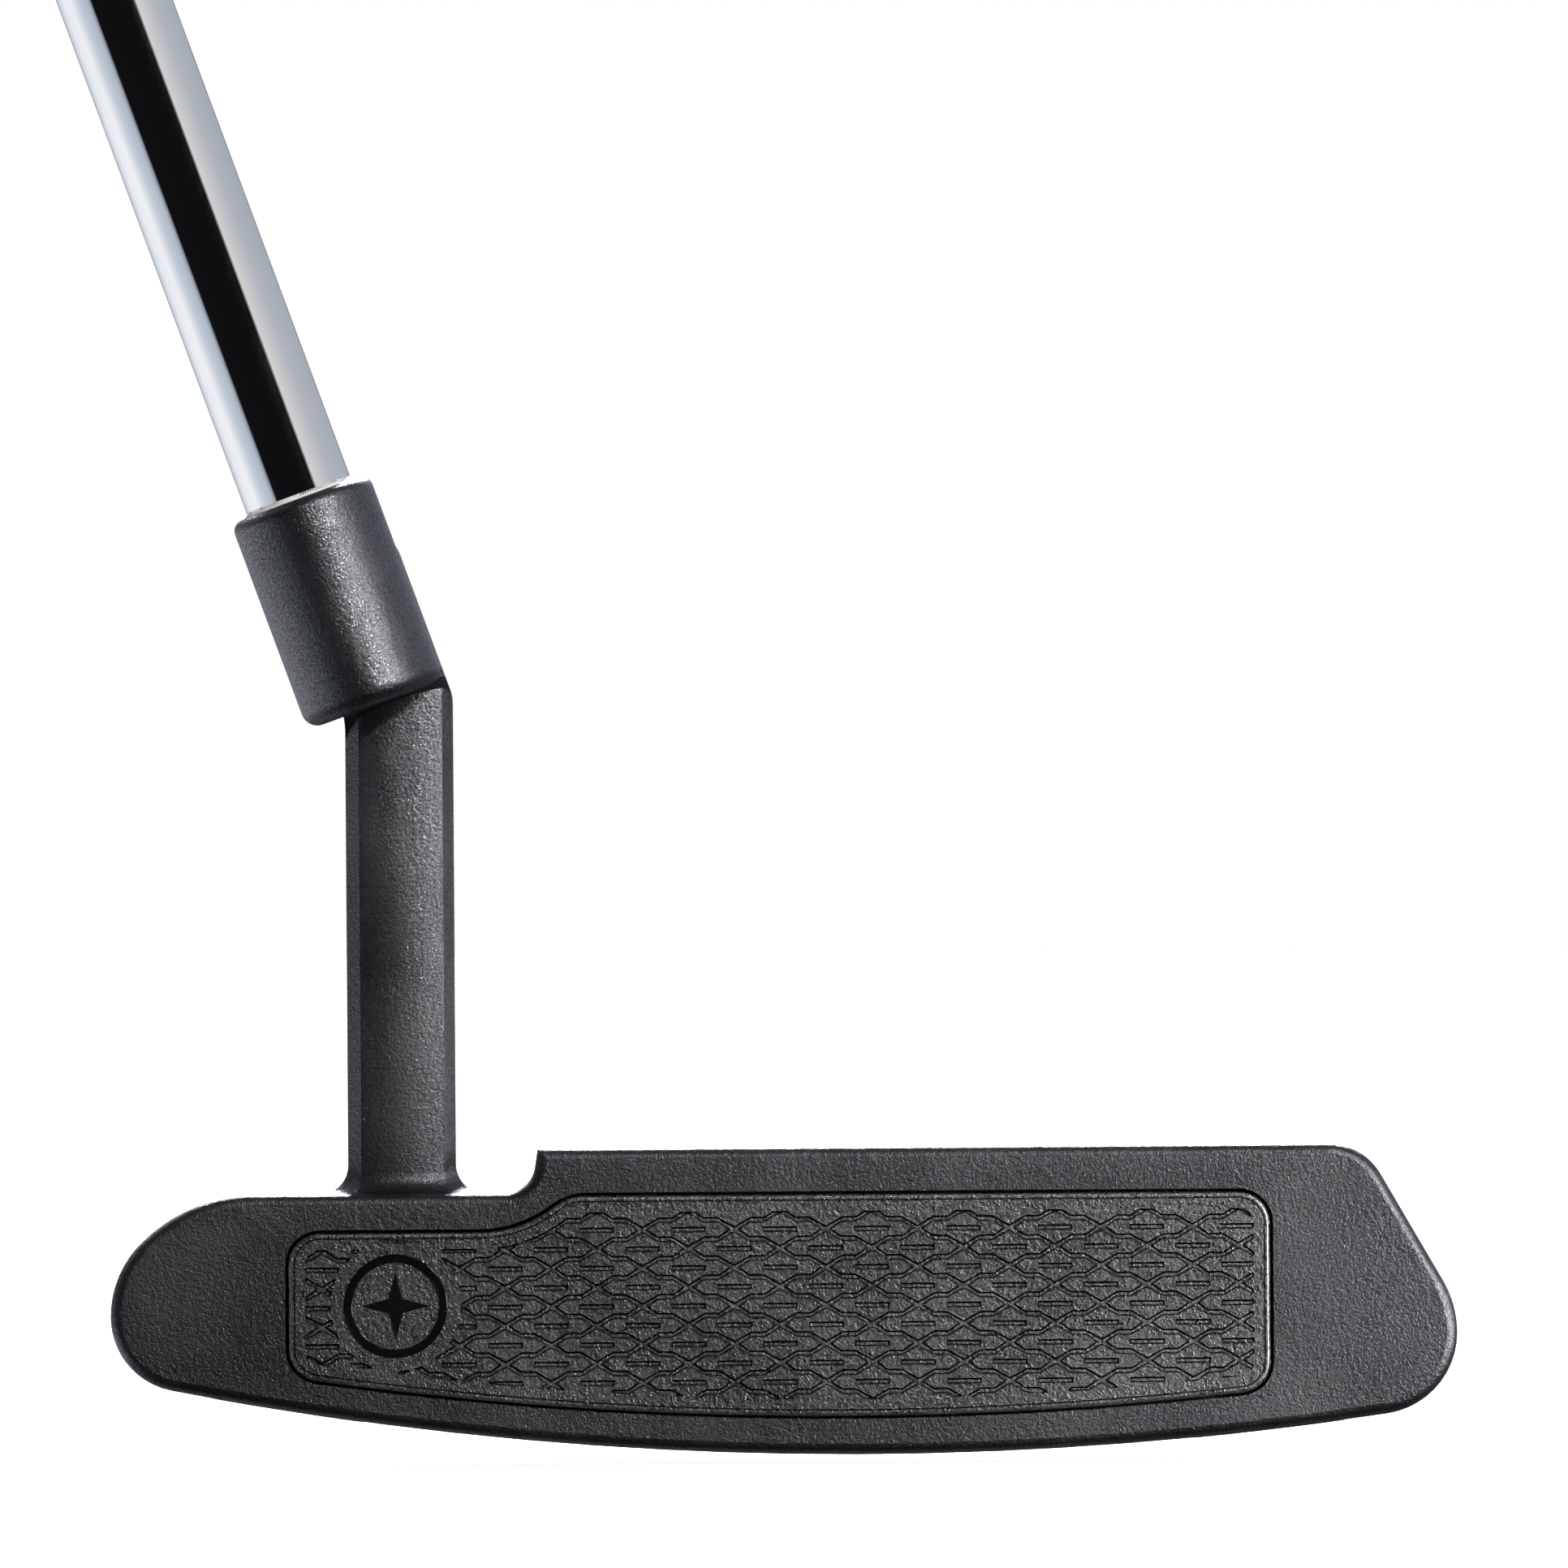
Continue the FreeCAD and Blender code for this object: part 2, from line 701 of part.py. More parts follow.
def round_post_root(head):
    """Blend from the post into the heel: tight in front, wider to both sides."""
    height = dim("heel_top")
    hair = 0.05
    half = dim("post_width") / 2 + hair
    front = dim("post_front")
    back = front + dim("post_depth")

    def at_root(edge):
        room = edge.BoundBox
        beside = max(abs(room.XMin - dim("post_centre")), abs(room.XMax - dim("post_centre"))) < half
        within = front - hair < room.YMin and room.YMax < back + hair
        return beside and within and all_on(edge, lambda p: p.z - height)

    def radius_at(spot):
        if spot.y < front + dim("post_bevel_toe"):
            return dim("root_radius_front")
        if spot.y > back - hair / 5:
            return dim("root_radius_back")
        return dim("root_radius_side")

    result = doc.addObject("Part::Fillet", "head_with_root")
    result.Base = head
    edges = head.Shape.Edges
    result.Edges = [
        (i, radius_at(edges[i - 1].valueAt(edges[i - 1].FirstParameter)),
         radius_at(edges[i - 1].valueAt(edges[i - 1].LastParameter)))
        for i in edge_numbers(head.Shape, at_root)
    ]
    doc.recompute()
    return result


def is_sharp_corner(edge, direction):
    """Straight edge along a direction at the four outer corners of the insert outline."""
    if not is_parallel(edge, direction):
        return False
    x = edge.CenterOfMass.x
    return min(abs(x + dim("insert_heel")), abs(x - dim("insert_toe"))) < 1


def make_head():
    front = box("space_before_face", FACE, (-FAR, FAR), (-FAR / 4, 0), (-FAR / 4, FAR / 2))
    faced = combine("Part::Cut", "blade_faced", make_blade(), front)
    blade = round_blade(faced)
    head = round_post_root(combine("Part::MultiFuse", "head_fused", blade, make_neck()))

    bore = cylinder("shaft_bore", SHAFT, "bore_diameter / 2", "sleeve_length", dim("bore_floor"))
    depth = "1 + insert_recess + insert_thickness + glue_thickness"
    pocket = prism("pocket_sharp", "XZ", insert_outline(dim("insert_gap")), BACK, depth, -1, FACE)
    corner = dim("insert_corner_radius") + dim("insert_gap")
    into_face = FACE.Rotation.multVec(BACK)
    pocket = round_edges("pocket", pocket, [(lambda e: is_sharp_corner(e, into_face), corner, corner)])
    groove = prism("sight_groove", "XY", sight_outline(), UP, "sight_depth + 1",
                   dim("cavity_floor") - dim("sight_depth"))
    cuts = [bore, pocket, groove]
    for name, x in WEIGHTS.items():
        frame = weight_frame(x)
        seat = dim("weight_head") + dim("washer_thickness") - WEIGHT_PROUD
        wide = "weight_diameter / 2 + %g" % COUNTERBORE_CLEARANCE
        narrow = "weight_stem_diameter / 2 + %g" % STEM_CLEARANCE
        start = seat - dim("weight_head") - HOLE_RUN_OUT
        cuts.append(cylinder(name + "_counterbore", frame, wide, "weight_head + %g" % HOLE_RUN_OUT, start))
        cuts.append(cylinder(name + "_hole", frame, narrow, "weight_stem + washer_thickness", seat))
    return combine("Part::Cut", "head_body", head, combine("Part::MultiFuse", "head_cuts", *cuts))


# ---------------------------------------------------------------- face insert and emblem

def moved(frame, shift):
    return frame.multiply(FreeCAD.Placement(shift, FreeCAD.Rotation()))


def make_face_plate(name, thickness, depth):
    """Plate with the insert outline; depth is its front, behind the face plane."""
    body = new_body(name)
    sketch = body_sketch(body, "XZ", insert_outline(), "outline")
    pad = feature(body, "Pad", "plate", sketch, Length=thickness)
    pad.Reversed = True
    doc.recompute()
    corners = ["Edge%d" % i for i in edge_numbers(pad.Shape, lambda e: is_sharp_corner(e, BACK))]
    rounds = body.newObject("PartDesign::Fillet", name + "_corners")
    rounds.Base = (pad, corners)
    bind(rounds, "Radius", "insert_corner_radius")
    doc.recompute()
    body.Placement = moved(FACE, BACK * depth)
    return body, rounds


def make_insert():
    body, plate = make_face_plate("face_insert", "insert_thickness", dim("insert_recess"))
    front = ["Edge%d" % i for i in edge_numbers(plate.Shape, lambda e: all_on(e, lambda p: p.y))]
    bevel = body.newObject("PartDesign::Chamfer", "face_insert_bevel")
    bevel.Base = (plate, front)
    bind(bevel, "Size", "insert_chamfer")
    doc.recompute()
    return body


def make_glue():
    depth = dim("insert_recess") + dim("insert_thickness")
    return make_face_plate("insert_adhesive", "glue_thickness", depth)[0]


# The emblem stands in the recess, a hair behind the face.
EMBLEM_SETBACK = 0.02
EMBLEM_THICKNESS = "insert_recess - %g" % EMBLEM_SETBACK


def make_emblem_ring():
    """Flat ring lying in the insert's recess."""
    body = new_body("emblem_ring")
    sketch = body_sketch(body, "XZ", [], "outline")
    radius = dim("emblem_radius")
    sketch.addGeometry(circle(dim("emblem_x"), dim("emblem_z"), radius), False)
    sketch.addGeometry(circle(dim("emblem_x"), dim("emblem_z"), radius - dim("emblem_band")), False)
    pad = feature(body, "Pad", "plate", sketch, Length=EMBLEM_THICKNESS)
    pad.Reversed = True
    body.Placement = moved(FACE, BACK * EMBLEM_SETBACK)
    return body


def make_emblem_star():
    """Plain four-pointed star inside the ring."""
    body = new_body("emblem_star")
    centre = point(dim("emblem_x"), dim("emblem_z"))
    reaches = [dim("star_reach"), dim("star_waist")] * 4
    tips = [polar(centre, reach, 45 * i) for i, reach in enumerate(reaches)]
    sketch = body_sketch(body, "XZ", rounded_polygon([(tip.x, tip.y, 0) for tip in tips]), "outline")
    pad = feature(body, "Pad", "plate", sketch, Length=EMBLEM_THICKNESS)
    pad.Reversed = True
    body.Placement = moved(FACE, BACK * EMBLEM_SETBACK)
    return body


# ---------------------------------------------------------------- sight line and sole weights

def make_sight_line():
    """Paint that fills the bottom of the sight groove."""
    body = new_body("sight_line_fill")
    offset = FreeCAD.Placement(UP * (dim("cavity_floor") - dim("sight_depth")), FreeCAD.Rotation())
    sketch = body_sketch(body, "XY", sight_outline(), "outline", offset)
    feature(body, "Pad", "paint", sketch, Length="paint_thickness")
    return body


def revolved(body, corners):
    """Revolution of an (r, z) outline about the body's own Z axis."""
    sketch = body_sketch(body, "XZ", rounded_polygon(corners), "profile")
    return feature(body, "Revolution", "turned", sketch, ReferenceAxis=(sketch, ["V_Axis"]), Angle=360.0)


def make_weight(name, x):
    """Screw-in weight: notched rim, hexagon socket and stem."""
    body = new_body(name)
    rim = dim("weight_diameter") / 2
    stem = dim("weight_stem_diameter") / 2
    seat = dim("weight_head")
    top = seat + dim("washer_thickness") + dim("weight_stem") - WEIGHT_PROUD
    turned = revolved(body, [
        (0, 0, 0),
        (rim, 0, dim("weight_rim_round")),
        (rim, seat, dim("weight_rim_round") / 2),
        (stem, seat, 0),
        (stem, top - dim("weight_chamfer"), 0),
        (stem - dim("weight_chamfer"), top, 0),
        (0, top, 0),
    ])
    before = turned.Shape.Volume
    nick = circle(rim + NOTCH_OFFSET * dim("weight_notch"), 0, dim("weight_notch") / 2)
    notch = body_sketch(body, "XY", nick, "notch")
    cut = feature(body, "Pocket", "notch_cut", notch, Length="weight_head - weight_chamfer", Reversed=True)
    ring = body.newObject("PartDesign::PolarPattern", name + "_notches")
    ring.Originals = [cut]
    ring.Axis = (notch, ["N_Axis"])
    ring.Angle = 360.0
    ring.Occurrences = NOTCH_COUNT
    body.Tip = ring
    doc.recompute()
    corners = [polar(point(0, 0), dim("weight_socket") / math.sqrt(3), 60 * i) for i in range(6)]
    hexagon = rounded_polygon([(corner.x, corner.y, 0) for corner in corners])
    socket = feature(body, "Pocket", "socket", body_sketch(body, "XY", hexagon, "hexagon"),
                     Length="weight_head + 1", Reversed=True)
    body.Tip = socket
    doc.recompute()
    socket_volume = math.sqrt(3) / 2 * dim("weight_socket") ** 2 * dim("weight_head")
    assert before - body.Shape.Volume > socket_volume, name + " notches and socket cut too little"
    body.Placement = moved(weight_frame(x), UP * -WEIGHT_PROUD)
    return body


def make_washer(name, x):
    """Flat washer under the weight's head."""
    body = new_body(name)
    low = dim("weight_head") - WEIGHT_PROUD
    high = low + dim("washer_thickness")
    inner = dim("weight_stem_diameter") / 2 + COUNTERBORE_CLEARANCE
    outer = dim("weight_diameter") / 2 - 2 * COUNTERBORE_CLEARANCE
    revolved(body, [(inner, low, 0), (outer, low, 0), (outer, high, 0), (inner, high, 0)])
    body.Placement = weight_frame(x)
    return body


# ---------------------------------------------------------------- shaft

# The tip's chamfer, the gap under the tip, and the height of the squeezed-out bead of glue.
TIP_CHAMFER = 0.25
TIP_GAP = 0.3
BEAD = 0.42
SHAFT_TIP = dim("bore_floor") + TIP_GAP
CLUB_TOP = dim("club_length") - GROUND_TO_SLEEVE
SHAFT_BUTT = CLUB_TOP - dim("cap_thickness")
TIP_RADIUS = dim("shaft_tip_diameter") / 2
BUTT_RADIUS = TIP_RADIUS + STEP_COUNT * dim("step_growth") / 2


def make_shaft():
    """Steel tube: parallel tip, then short steps up to the butt diameter."""
    body = new_body("shaft")
    wall = dim("shaft_wall")
    growth = dim("step_growth") / 2
    steps = [(TIP_RADIUS + growth * i, SHAFT_TIP + dim("tip_length") + dim("step_length") * i)
             for i in range(STEP_COUNT)]
    outside = [(TIP_RADIUS - TIP_CHAMFER, SHAFT_TIP), (TIP_RADIUS, SHAFT_TIP + TIP_CHAMFER)]
    inside = [(TIP_RADIUS - wall, SHAFT_TIP)]
    for radius, height in steps:
        outside += [(radius, height), (radius + growth, height + 1)]
        inside += [(radius - wall, height + wall), (radius + growth - wall, height + 1 + wall)]
    outside.append((BUTT_RADIUS, SHAFT_BUTT))
    inside.append((BUTT_RADIUS - wall, SHAFT_BUTT))
    revolved(body, [(radius, height, 0) for radius, height in outside + inside[::-1]])
    body.Placement = SHAFT
    return body


def make_epoxy():
    """Film between shaft and bore, with a small bead squeezed out on top of the sleeve."""
    body = new_body("shaft_epoxy")
    bore = dim("bore_diameter") / 2
    floor = dim("bore_floor")
    top = dim("sleeve_length")
    revolved(body, [
        (0, floor, 0),
        (bore, floor, 0),
        (bore, top, 0),
        (TIP_RADIUS + BEAD, top, 0),
        (TIP_RADIUS + BEAD / 2, top + BEAD * 0.7, 0),
        (TIP_RADIUS, top + BEAD, 0),
        (TIP_RADIUS, SHAFT_TIP + TIP_CHAMFER, 0),
        (TIP_RADIUS - TIP_CHAMFER, SHAFT_TIP, 0),
        (0, SHAFT_TIP, 0),
    ])
    body.Placement = SHAFT
    return body


def make_plug():
    """Nylon plug that keeps the epoxy out of the tube."""
    radius = "shaft_tip_diameter / 2 - shaft_wall"
    plug = cylinder("shaft_tip_plug", SHAFT, radius, "plug_length", SHAFT_TIP)
    plug.Label = "shaft_tip_plug"
    return plug


# ---------------------------------------------------------------- grip

GRIP_START = CLUB_TOP - dim("grip_length")
CAP_CROWN = 0.4
GRIP_END = CLUB_TOP - CAP_CROWN
CAP_RADIUS = 9.6
CAP_PLUG_LENGTH = 8.0
TAPE_SETBACK = 2.0
# How much of the depth lies on the thumb side, and how fast the back and the sides fill out.
THUMB_SHARE = 0.38
BACK_POWER = 1.7
SIDE_POWER = 0.7


def grip_section(share):
    """Flat thumb side on +X, rounded back on -X; share runs from 0 at the mouth to 1 at the butt."""
    mouth = dim("grip_mouth_diameter") / 2
    front = mouth + (dim("grip_depth") * THUMB_SHARE - mouth) * share
    behind = mouth + (dim("grip_depth") * (1 - THUMB_SHARE) - mouth) * share ** BACK_POWER
    half = mouth + (dim("grip_width") / 2 - mouth) * share ** SIDE_POWER
    tight = half * (ALMOST_ROUND - share / 2)
    wide = min(half, behind) * ALMOST_ROUND
    return rounded_polygon([
        (-behind, -half, wide),
        (front, -half, tight),
        (front, half, tight),
        (-behind, half, wide),
    ])


def make_grip():
    """Rubber grip, lofted through sections, hollow for the shaft and its tape."""
    body = new_body("grip")
    length = GRIP_END - GRIP_START
    sketches = []
    for i, share in enumerate((0.0, 0.22, 0.5, 0.8, 1.0)):
        height = FreeCAD.Placement(UP * (length * share), FreeCAD.Rotation())
        sketches.append(body_sketch(body, "XY", grip_section(share), "section%d" % i, height))
    loft = body.newObject("PartDesign::AdditiveLoft", "grip_skin")
    loft.Profile = sketches[0]
    loft.Sections = sketches[1:]
    doc.recompute()
    bore = body_sketch(body, "XY", circle(0, 0, BUTT_RADIUS + dim("tape_thickness")), "bore")
    feature(body, "Pocket", "bore_cut", bore, Length="grip_length", Reversed=True)
    seat = FreeCAD.Placement(UP * (SHAFT_BUTT - GRIP_START), FreeCAD.Rotation())
    feature(body, "Pocket", "cap_seat", body_sketch(body, "XY", circle(0, 0, CAP_RADIUS), "cap", seat),
            Length="cap_thickness", Reversed=True)
    doc.recompute()
    body.Placement = moved(SHAFT, UP * GRIP_START)
    return body


def make_tape():
    """Double-sided tape wound on the shaft under the grip."""
    body = new_body("grip_tape")
    low = GRIP_START + TAPE_SETBACK
    high = SHAFT_BUTT
    outer = BUTT_RADIUS + dim("tape_thickness")
    revolved(body, [(BUTT_RADIUS, low, 0), (outer, low, 0), (outer, high, 0), (BUTT_RADIUS, high, 0)])
    body.Placement = SHAFT
    return body


def make_cap():
    """Butt cap: low dome, plug into the tube and a vent hole through both."""
    body = new_body("grip_end_cap")
    vent = dim("vent_diameter") / 2
    plug = BUTT_RADIUS - dim("shaft_wall")
    revolved(body, [
        (vent, SHAFT_BUTT - CAP_PLUG_LENGTH, 0),
        (plug - 0.5, SHAFT_BUTT - CAP_PLUG_LENGTH, 0),
        (plug, SHAFT_BUTT - CAP_PLUG_LENGTH + 1, 0),
        (plug, SHAFT_BUTT, 0),
        (CAP_RADIUS, SHAFT_BUTT, 0),
        (CAP_RADIUS, GRIP_END - CAP_CROWN, CAP_CROWN),
        (CAP_RADIUS * 0.6, CLUB_TOP - CAP_CROWN / 8, CAP_PLUG_LENGTH),
        (vent, CLUB_TOP, 0),
    ])
    body.Placement = SHAFT
    return body


# ---------------------------------------------------------------- build and write

PIECES = [
    make_head(),
    make_insert(),
    make_glue(),
    make_emblem_ring(),
    make_emblem_star(),
    make_sight_line(),
    *[make_weight(name, x) for name, x in WEIGHTS.items()],
    *[make_washer(name + "_washer", x) for name, x in WEIGHTS.items()],
    make_shaft(),
    make_epoxy(),
    make_plug(),
    make_grip(),
    make_tape(),
    make_cap(),
]
doc.recompute()

for item in doc.Objects:
    assert not {"Invalid", "Error"} & set(item.State), item.Name + " failed to build"
for piece in PIECES:
    assert not piece.Shape.isNull() and piece.Shape.isValid(), piece.Label + " has no sound shape"
    assert len(piece.Shape.Solids) == 1, piece.Label + " is not one solid"
    piece.Shape.exportStep("parts/" + piece.Label + ".step")
    print("%-20s %10.2f mm3" % (piece.Label, piece.Shape.Volume))
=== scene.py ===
import math

import bmesh
import bpy
import numpy as np
from mathutils import Matrix, Vector
from mathutils.geometry import delaunay_2d_cdt


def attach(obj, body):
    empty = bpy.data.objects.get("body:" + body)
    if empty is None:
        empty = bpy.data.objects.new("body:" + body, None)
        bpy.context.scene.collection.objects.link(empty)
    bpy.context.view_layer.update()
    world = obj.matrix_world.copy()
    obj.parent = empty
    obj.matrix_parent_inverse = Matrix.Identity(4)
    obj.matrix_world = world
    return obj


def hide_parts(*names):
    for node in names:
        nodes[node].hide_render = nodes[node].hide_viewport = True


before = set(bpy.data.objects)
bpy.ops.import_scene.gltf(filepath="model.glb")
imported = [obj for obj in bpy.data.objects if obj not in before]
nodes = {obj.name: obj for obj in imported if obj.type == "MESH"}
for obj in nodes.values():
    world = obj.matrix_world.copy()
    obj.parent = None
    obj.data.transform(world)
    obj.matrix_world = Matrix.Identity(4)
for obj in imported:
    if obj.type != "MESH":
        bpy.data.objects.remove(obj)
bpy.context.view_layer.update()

# Lengths below are millimetres in one of three frames; new_piece() turns them into metres in the row frame.
MM = 0.001
LOFT = math.radians(3.0)
LEAN = math.radians(20.0)
SLEEVE_FOOT = (-41.88, -4.7, 64.54)
FACE = Matrix((
    (1, 0, 0, 0),
    (0, math.cos(LOFT), math.sin(LOFT), 0),
    (0, -math.sin(LOFT), math.cos(LOFT), 0),
    (0, 0, 0, 1),
))
SHAFT = Matrix((
    (math.cos(LEAN), 0, -math.sin(LEAN), SLEEVE_FOOT[0]),
    (0, 1, 0, SLEEVE_FOOT[1]),
    (math.sin(LEAN), 0, math.cos(LEAN), SLEEVE_FOOT[2]),
    (0, 0, 0, 1),
))


# ---------------------------------------------------------------- shader helpers

def node(tree, kind, inputs=None, **settings):
    made = tree.nodes.new(kind)
    for key, value in settings.items():
        setattr(made, key, value)
    for key, value in (inputs or {}).items():
        if isinstance(value, bpy.types.NodeSocket):
            tree.links.new(value, made.inputs[key])
        else:
            made.inputs[key].default_value = value
    return made


def material(name, **principled):
    made = bpy.data.materials.new(name)
    made.use_nodes = True
    shader = made.node_tree.nodes["Principled BSDF"]
    for key, value in principled.items():
        shader.inputs[key.replace("_", " ")].default_value = value
    return made, made.node_tree, shader


def coordinates(tree):
    return node(tree, "ShaderNodeTexCoord").outputs["Object"]


def noise(tree, where, scale, detail, rough=0.5):
    return node(tree, "ShaderNodeTexNoise", {
        "Vector": where, "Scale": scale, "Detail": detail, "Roughness": rough,
    }).outputs["Fac"]


def spread(tree, value, low, high, out_low, out_high):
    return node(tree, "ShaderNodeMapRange", {
        "Value": value, "From Min": low, "From Max": high, "To Min": out_low, "To Max": out_high,
    }).outputs["Result"]


def add(tree, one, two, operation="ADD"):
    return node(tree, "ShaderNodeMath", {0: one, 1: two}, operation=operation).outputs["Value"]


def tint(tree, fac, dark, light):
    return node(tree, "ShaderNodeMix", {"Factor": fac, "A": (*dark, 1), "B": (*light, 1)},
                data_type="RGBA").outputs["Result"]


def bump(tree, height, depth):
    return node(tree, "ShaderNodeBump", {"Height": height, "Distance": depth}).outputs["Normal"]


# Noise factors lie mostly between these two values.
NOISE_LOW, NOISE_HIGH = 0.3, 0.7
# Pits set most of a blasted surface's shade and broad patches the rest.
PIT_LOW, PIT_HIGH, PIT_SHARE = 0.35, 0.68, 0.75
PATCH_SCALE, PATCH_SHARE, PATCH_SHEEN = 90.0, 0.25, 0.03
COARSE_SCALE, COARSE_HEIGHT = 0.42, 0.8
# Pointiness from where a sharp edge starts to get lighter to where it is lightest, and how much lighter it
# gets.
EDGE_LIGHTER_FROM, EDGE_LIGHTER_TO, EDGE_LIGHTER = 0.53, 0.60, 0.35
# Painted shade: near black on the insert's engraved line and pattern walls. Painted highlight: pale steel on
# the insert's chamfer.
PAINTED_SHADE = (0.003, 0.003, 0.003, 1)
PAINTED_HIGHLIGHT = (0.80, 0.80, 0.81, 1)


def blasted_metal(name, dark, light, rough, grain, relief, sparkle, painted_light_tone=None):
    """Satin coating over bead-blasted steel: fine pits, patches of slightly different sheen, bright grains.

    The face attribute named by the last argument paints light: 1 gives painted shade on the walls of engraved
    lines, -1 a painted highlight on edges."""
    made, tree, shader = material(name, Metallic=1.0)
    where = coordinates(tree)
    pits = noise(tree, where, grain, 2.0, 0.6)
    coarse = noise(tree, where, grain * COARSE_SCALE, 1.0, 0.5)
    patches = noise(tree, where, PATCH_SCALE, 3.0, 0.55)
    pointiness = node(tree, "ShaderNodeNewGeometry").outputs["Pointiness"]
    shade = add(tree, spread(tree, pits, PIT_LOW, PIT_HIGH, 0.0, PIT_SHARE),
                spread(tree, patches, NOISE_LOW, NOISE_HIGH, 0.0, PATCH_SHARE))
    # Sharp convex edges come out lighter.
    shade = add(tree, shade, spread(tree, pointiness, EDGE_LIGHTER_FROM, EDGE_LIGHTER_TO, 0.0, EDGE_LIGHTER))
    colour = tint(tree, shade, dark, light)
    if painted_light_tone:
        tone = node(tree, "ShaderNodeAttribute", attribute_name=painted_light_tone).outputs["Fac"]
        # Painted shade towards near black where the attribute is 1, painted highlight towards pale steel
        # where it is -1.
        for full, end in ((1.0, PAINTED_SHADE), (-1.0, PAINTED_HIGHLIGHT)):
            share = spread(tree, tone, 0.0, full, 0.0, 1.0)
            colour = node(tree, "ShaderNodeMix", {"Factor": share, "A": colour, "B": end},
                          data_type="RGBA").outputs["Result"]
    tree.links.new(colour, shader.inputs["Base Color"])
    sheen = add(tree, spread(tree, pits, NOISE_LOW, NOISE_HIGH, rough + sparkle, rough - sparkle),
                spread(tree, patches, NOISE_LOW, NOISE_HIGH, -PATCH_SHEEN, PATCH_SHEEN))
    tree.links.new(sheen, shader.inputs["Roughness"])
    height = add(tree, pits, add(tree, coarse, COARSE_HEIGHT, "MULTIPLY"))
    tree.links.new(bump(tree, height, relief), shader.inputs["Normal"])
    return made


# A moulded or painted surface: clouds much broader than its grain, and sheen that varies by this share.
CLOUD_SCALE, SHEEN_SPREAD = 0.06, 0.15


def plain(name, dark, light, rough, scale, depth):
    made, tree, shader = material(name)
    where = coordinates(tree)
    grain = noise(tree, where, scale, 3.0, 0.6)
    cloud = noise(tree, where, scale * CLOUD_SCALE, 2.0)
    tree.links.new(tint(tree, spread(tree, cloud, NOISE_LOW, NOISE_HIGH, 0.0, 1.0), dark, light),
                   shader.inputs["Base Color"])
    sheen = spread(tree, grain, NOISE_LOW, NOISE_HIGH, rough * (1 - SHEEN_SPREAD), rough * (1 + SHEEN_SPREAD))
    tree.links.new(sheen, shader.inputs["Roughness"])
    tree.links.new(bump(tree, grain, depth), shader.inputs["Normal"])
    return made


# Two noise factors added together lie mostly between these.
PAIR_LOW, PAIR_HIGH = 0.6, 1.4


def chrome(name):
    """Polished plating: faint cloudiness and hairline draw marks along the tube."""
    made, tree, shader = material(name, Metallic=1.0)
    where = coordinates(tree)
    drawn_out = (1, 1, 0.02)
    along = node(tree, "ShaderNodeMapping", {
        "Vector": where, "Rotation": (0, LEAN, 0), "Scale": drawn_out}).outputs["Vector"]
    marks = noise(tree, along, 2600.0, 2.0)
    cloud = noise(tree, where, 70.0, 2.0)
    tree.links.new(tint(tree, cloud, (0.80, 0.815, 0.84), (0.90, 0.905, 0.92)), shader.inputs["Base Color"])
    tree.links.new(spread(tree, add(tree, marks, cloud), PAIR_LOW, PAIR_HIGH, 0.025, 0.07),
                   shader.inputs["Roughness"])
    tree.links.new(bump(tree, marks, 0.0000004), shader.inputs["Normal"])
    return made


def rubber(name):
    """Soft black rubber with a fine dusty grain, duller where the grain is low."""
    made, tree, shader = material(name, Metallic=0.0)
    where = coordinates(tree)
    fine = noise(tree, where, 3200.0, 3.0, 0.65)
    cloud = noise(tree, where, 45.0, 3.0)
    colour = tint(tree, cloud, (0.011, 0.011, 0.012), (0.022, 0.022, 0.024))
    tree.links.new(colour, shader.inputs["Base Color"])
    tree.links.new(spread(tree, add(tree, fine, cloud), PAIR_LOW, PAIR_HIGH, 0.72, 0.52),
                   shader.inputs["Roughness"])
    tree.links.new(bump(tree, fine, 0.00004), shader.inputs["Normal"])
    return made


# Noise scales are per metre and bump depths are metres.
MATERIALS = {
    "blasted_steel": blasted_metal(
        "blasted_steel", dark=(0.085, 0.086, 0.098), light=(0.25, 0.253, 0.275),
        rough=0.39, grain=6000.0, relief=0.00005, sparkle=0.13),
    "insert_steel": blasted_metal(
        "insert_steel", dark=(0.11, 0.11, 0.118), light=(0.40, 0.402, 0.42),
        rough=0.37, grain=5600.0, relief=0.00006, sparkle=0.20, painted_light_tone="painted_light_tone"),
    "adhesive_film": plain(
        "adhesive_film", dark=(0.60, 0.58, 0.52), light=(0.72, 0.70, 0.65),
        rough=0.5, scale=900.0, depth=0.00001),
    "gloss_black_inlay": plain(
        "gloss_black_inlay", dark=(0.002, 0.002, 0.002), light=(0.005, 0.005, 0.006),
        rough=0.07, scale=1500.0, depth=0.000002),
    "sight_paint": plain(
        "sight_paint", dark=(0.78, 0.78, 0.76), light=(0.86, 0.86, 0.84),
        rough=0.30, scale=1800.0, depth=0.000006),
    "weight_steel": blasted_metal(
        "weight_steel", dark=(0.09, 0.092, 0.10), light=(0.16, 0.163, 0.175),
        rough=0.30, grain=3200.0, relief=0.000006, sparkle=0.05),
    "nylon": plain(
        "nylon", dark=(0.70, 0.68, 0.60), light=(0.80, 0.78, 0.72),
        rough=0.45, scale=800.0, depth=0.00001),
    "shaft_chrome": chrome("shaft_chrome"),
    "clear_epoxy": plain(
        "clear_epoxy", dark=(0.52, 0.50, 0.44), light=(0.74, 0.74, 0.72),
        rough=0.18, scale=1300.0, depth=0.00003),
    "grip_rubber": rubber("grip_rubber"),
    "grip_tape_paper": plain(
        "grip_tape_paper", dark=(0.66, 0.60, 0.46), light=(0.76, 0.71, 0.58),
        rough=0.7, scale=1200.0, depth=0.00002),
    "cap_plastic": plain(
        "cap_plastic", dark=(0.016, 0.016, 0.017), light=(0.024, 0.024, 0.026),
        rough=0.42, scale=2200.0, depth=0.00001),
}
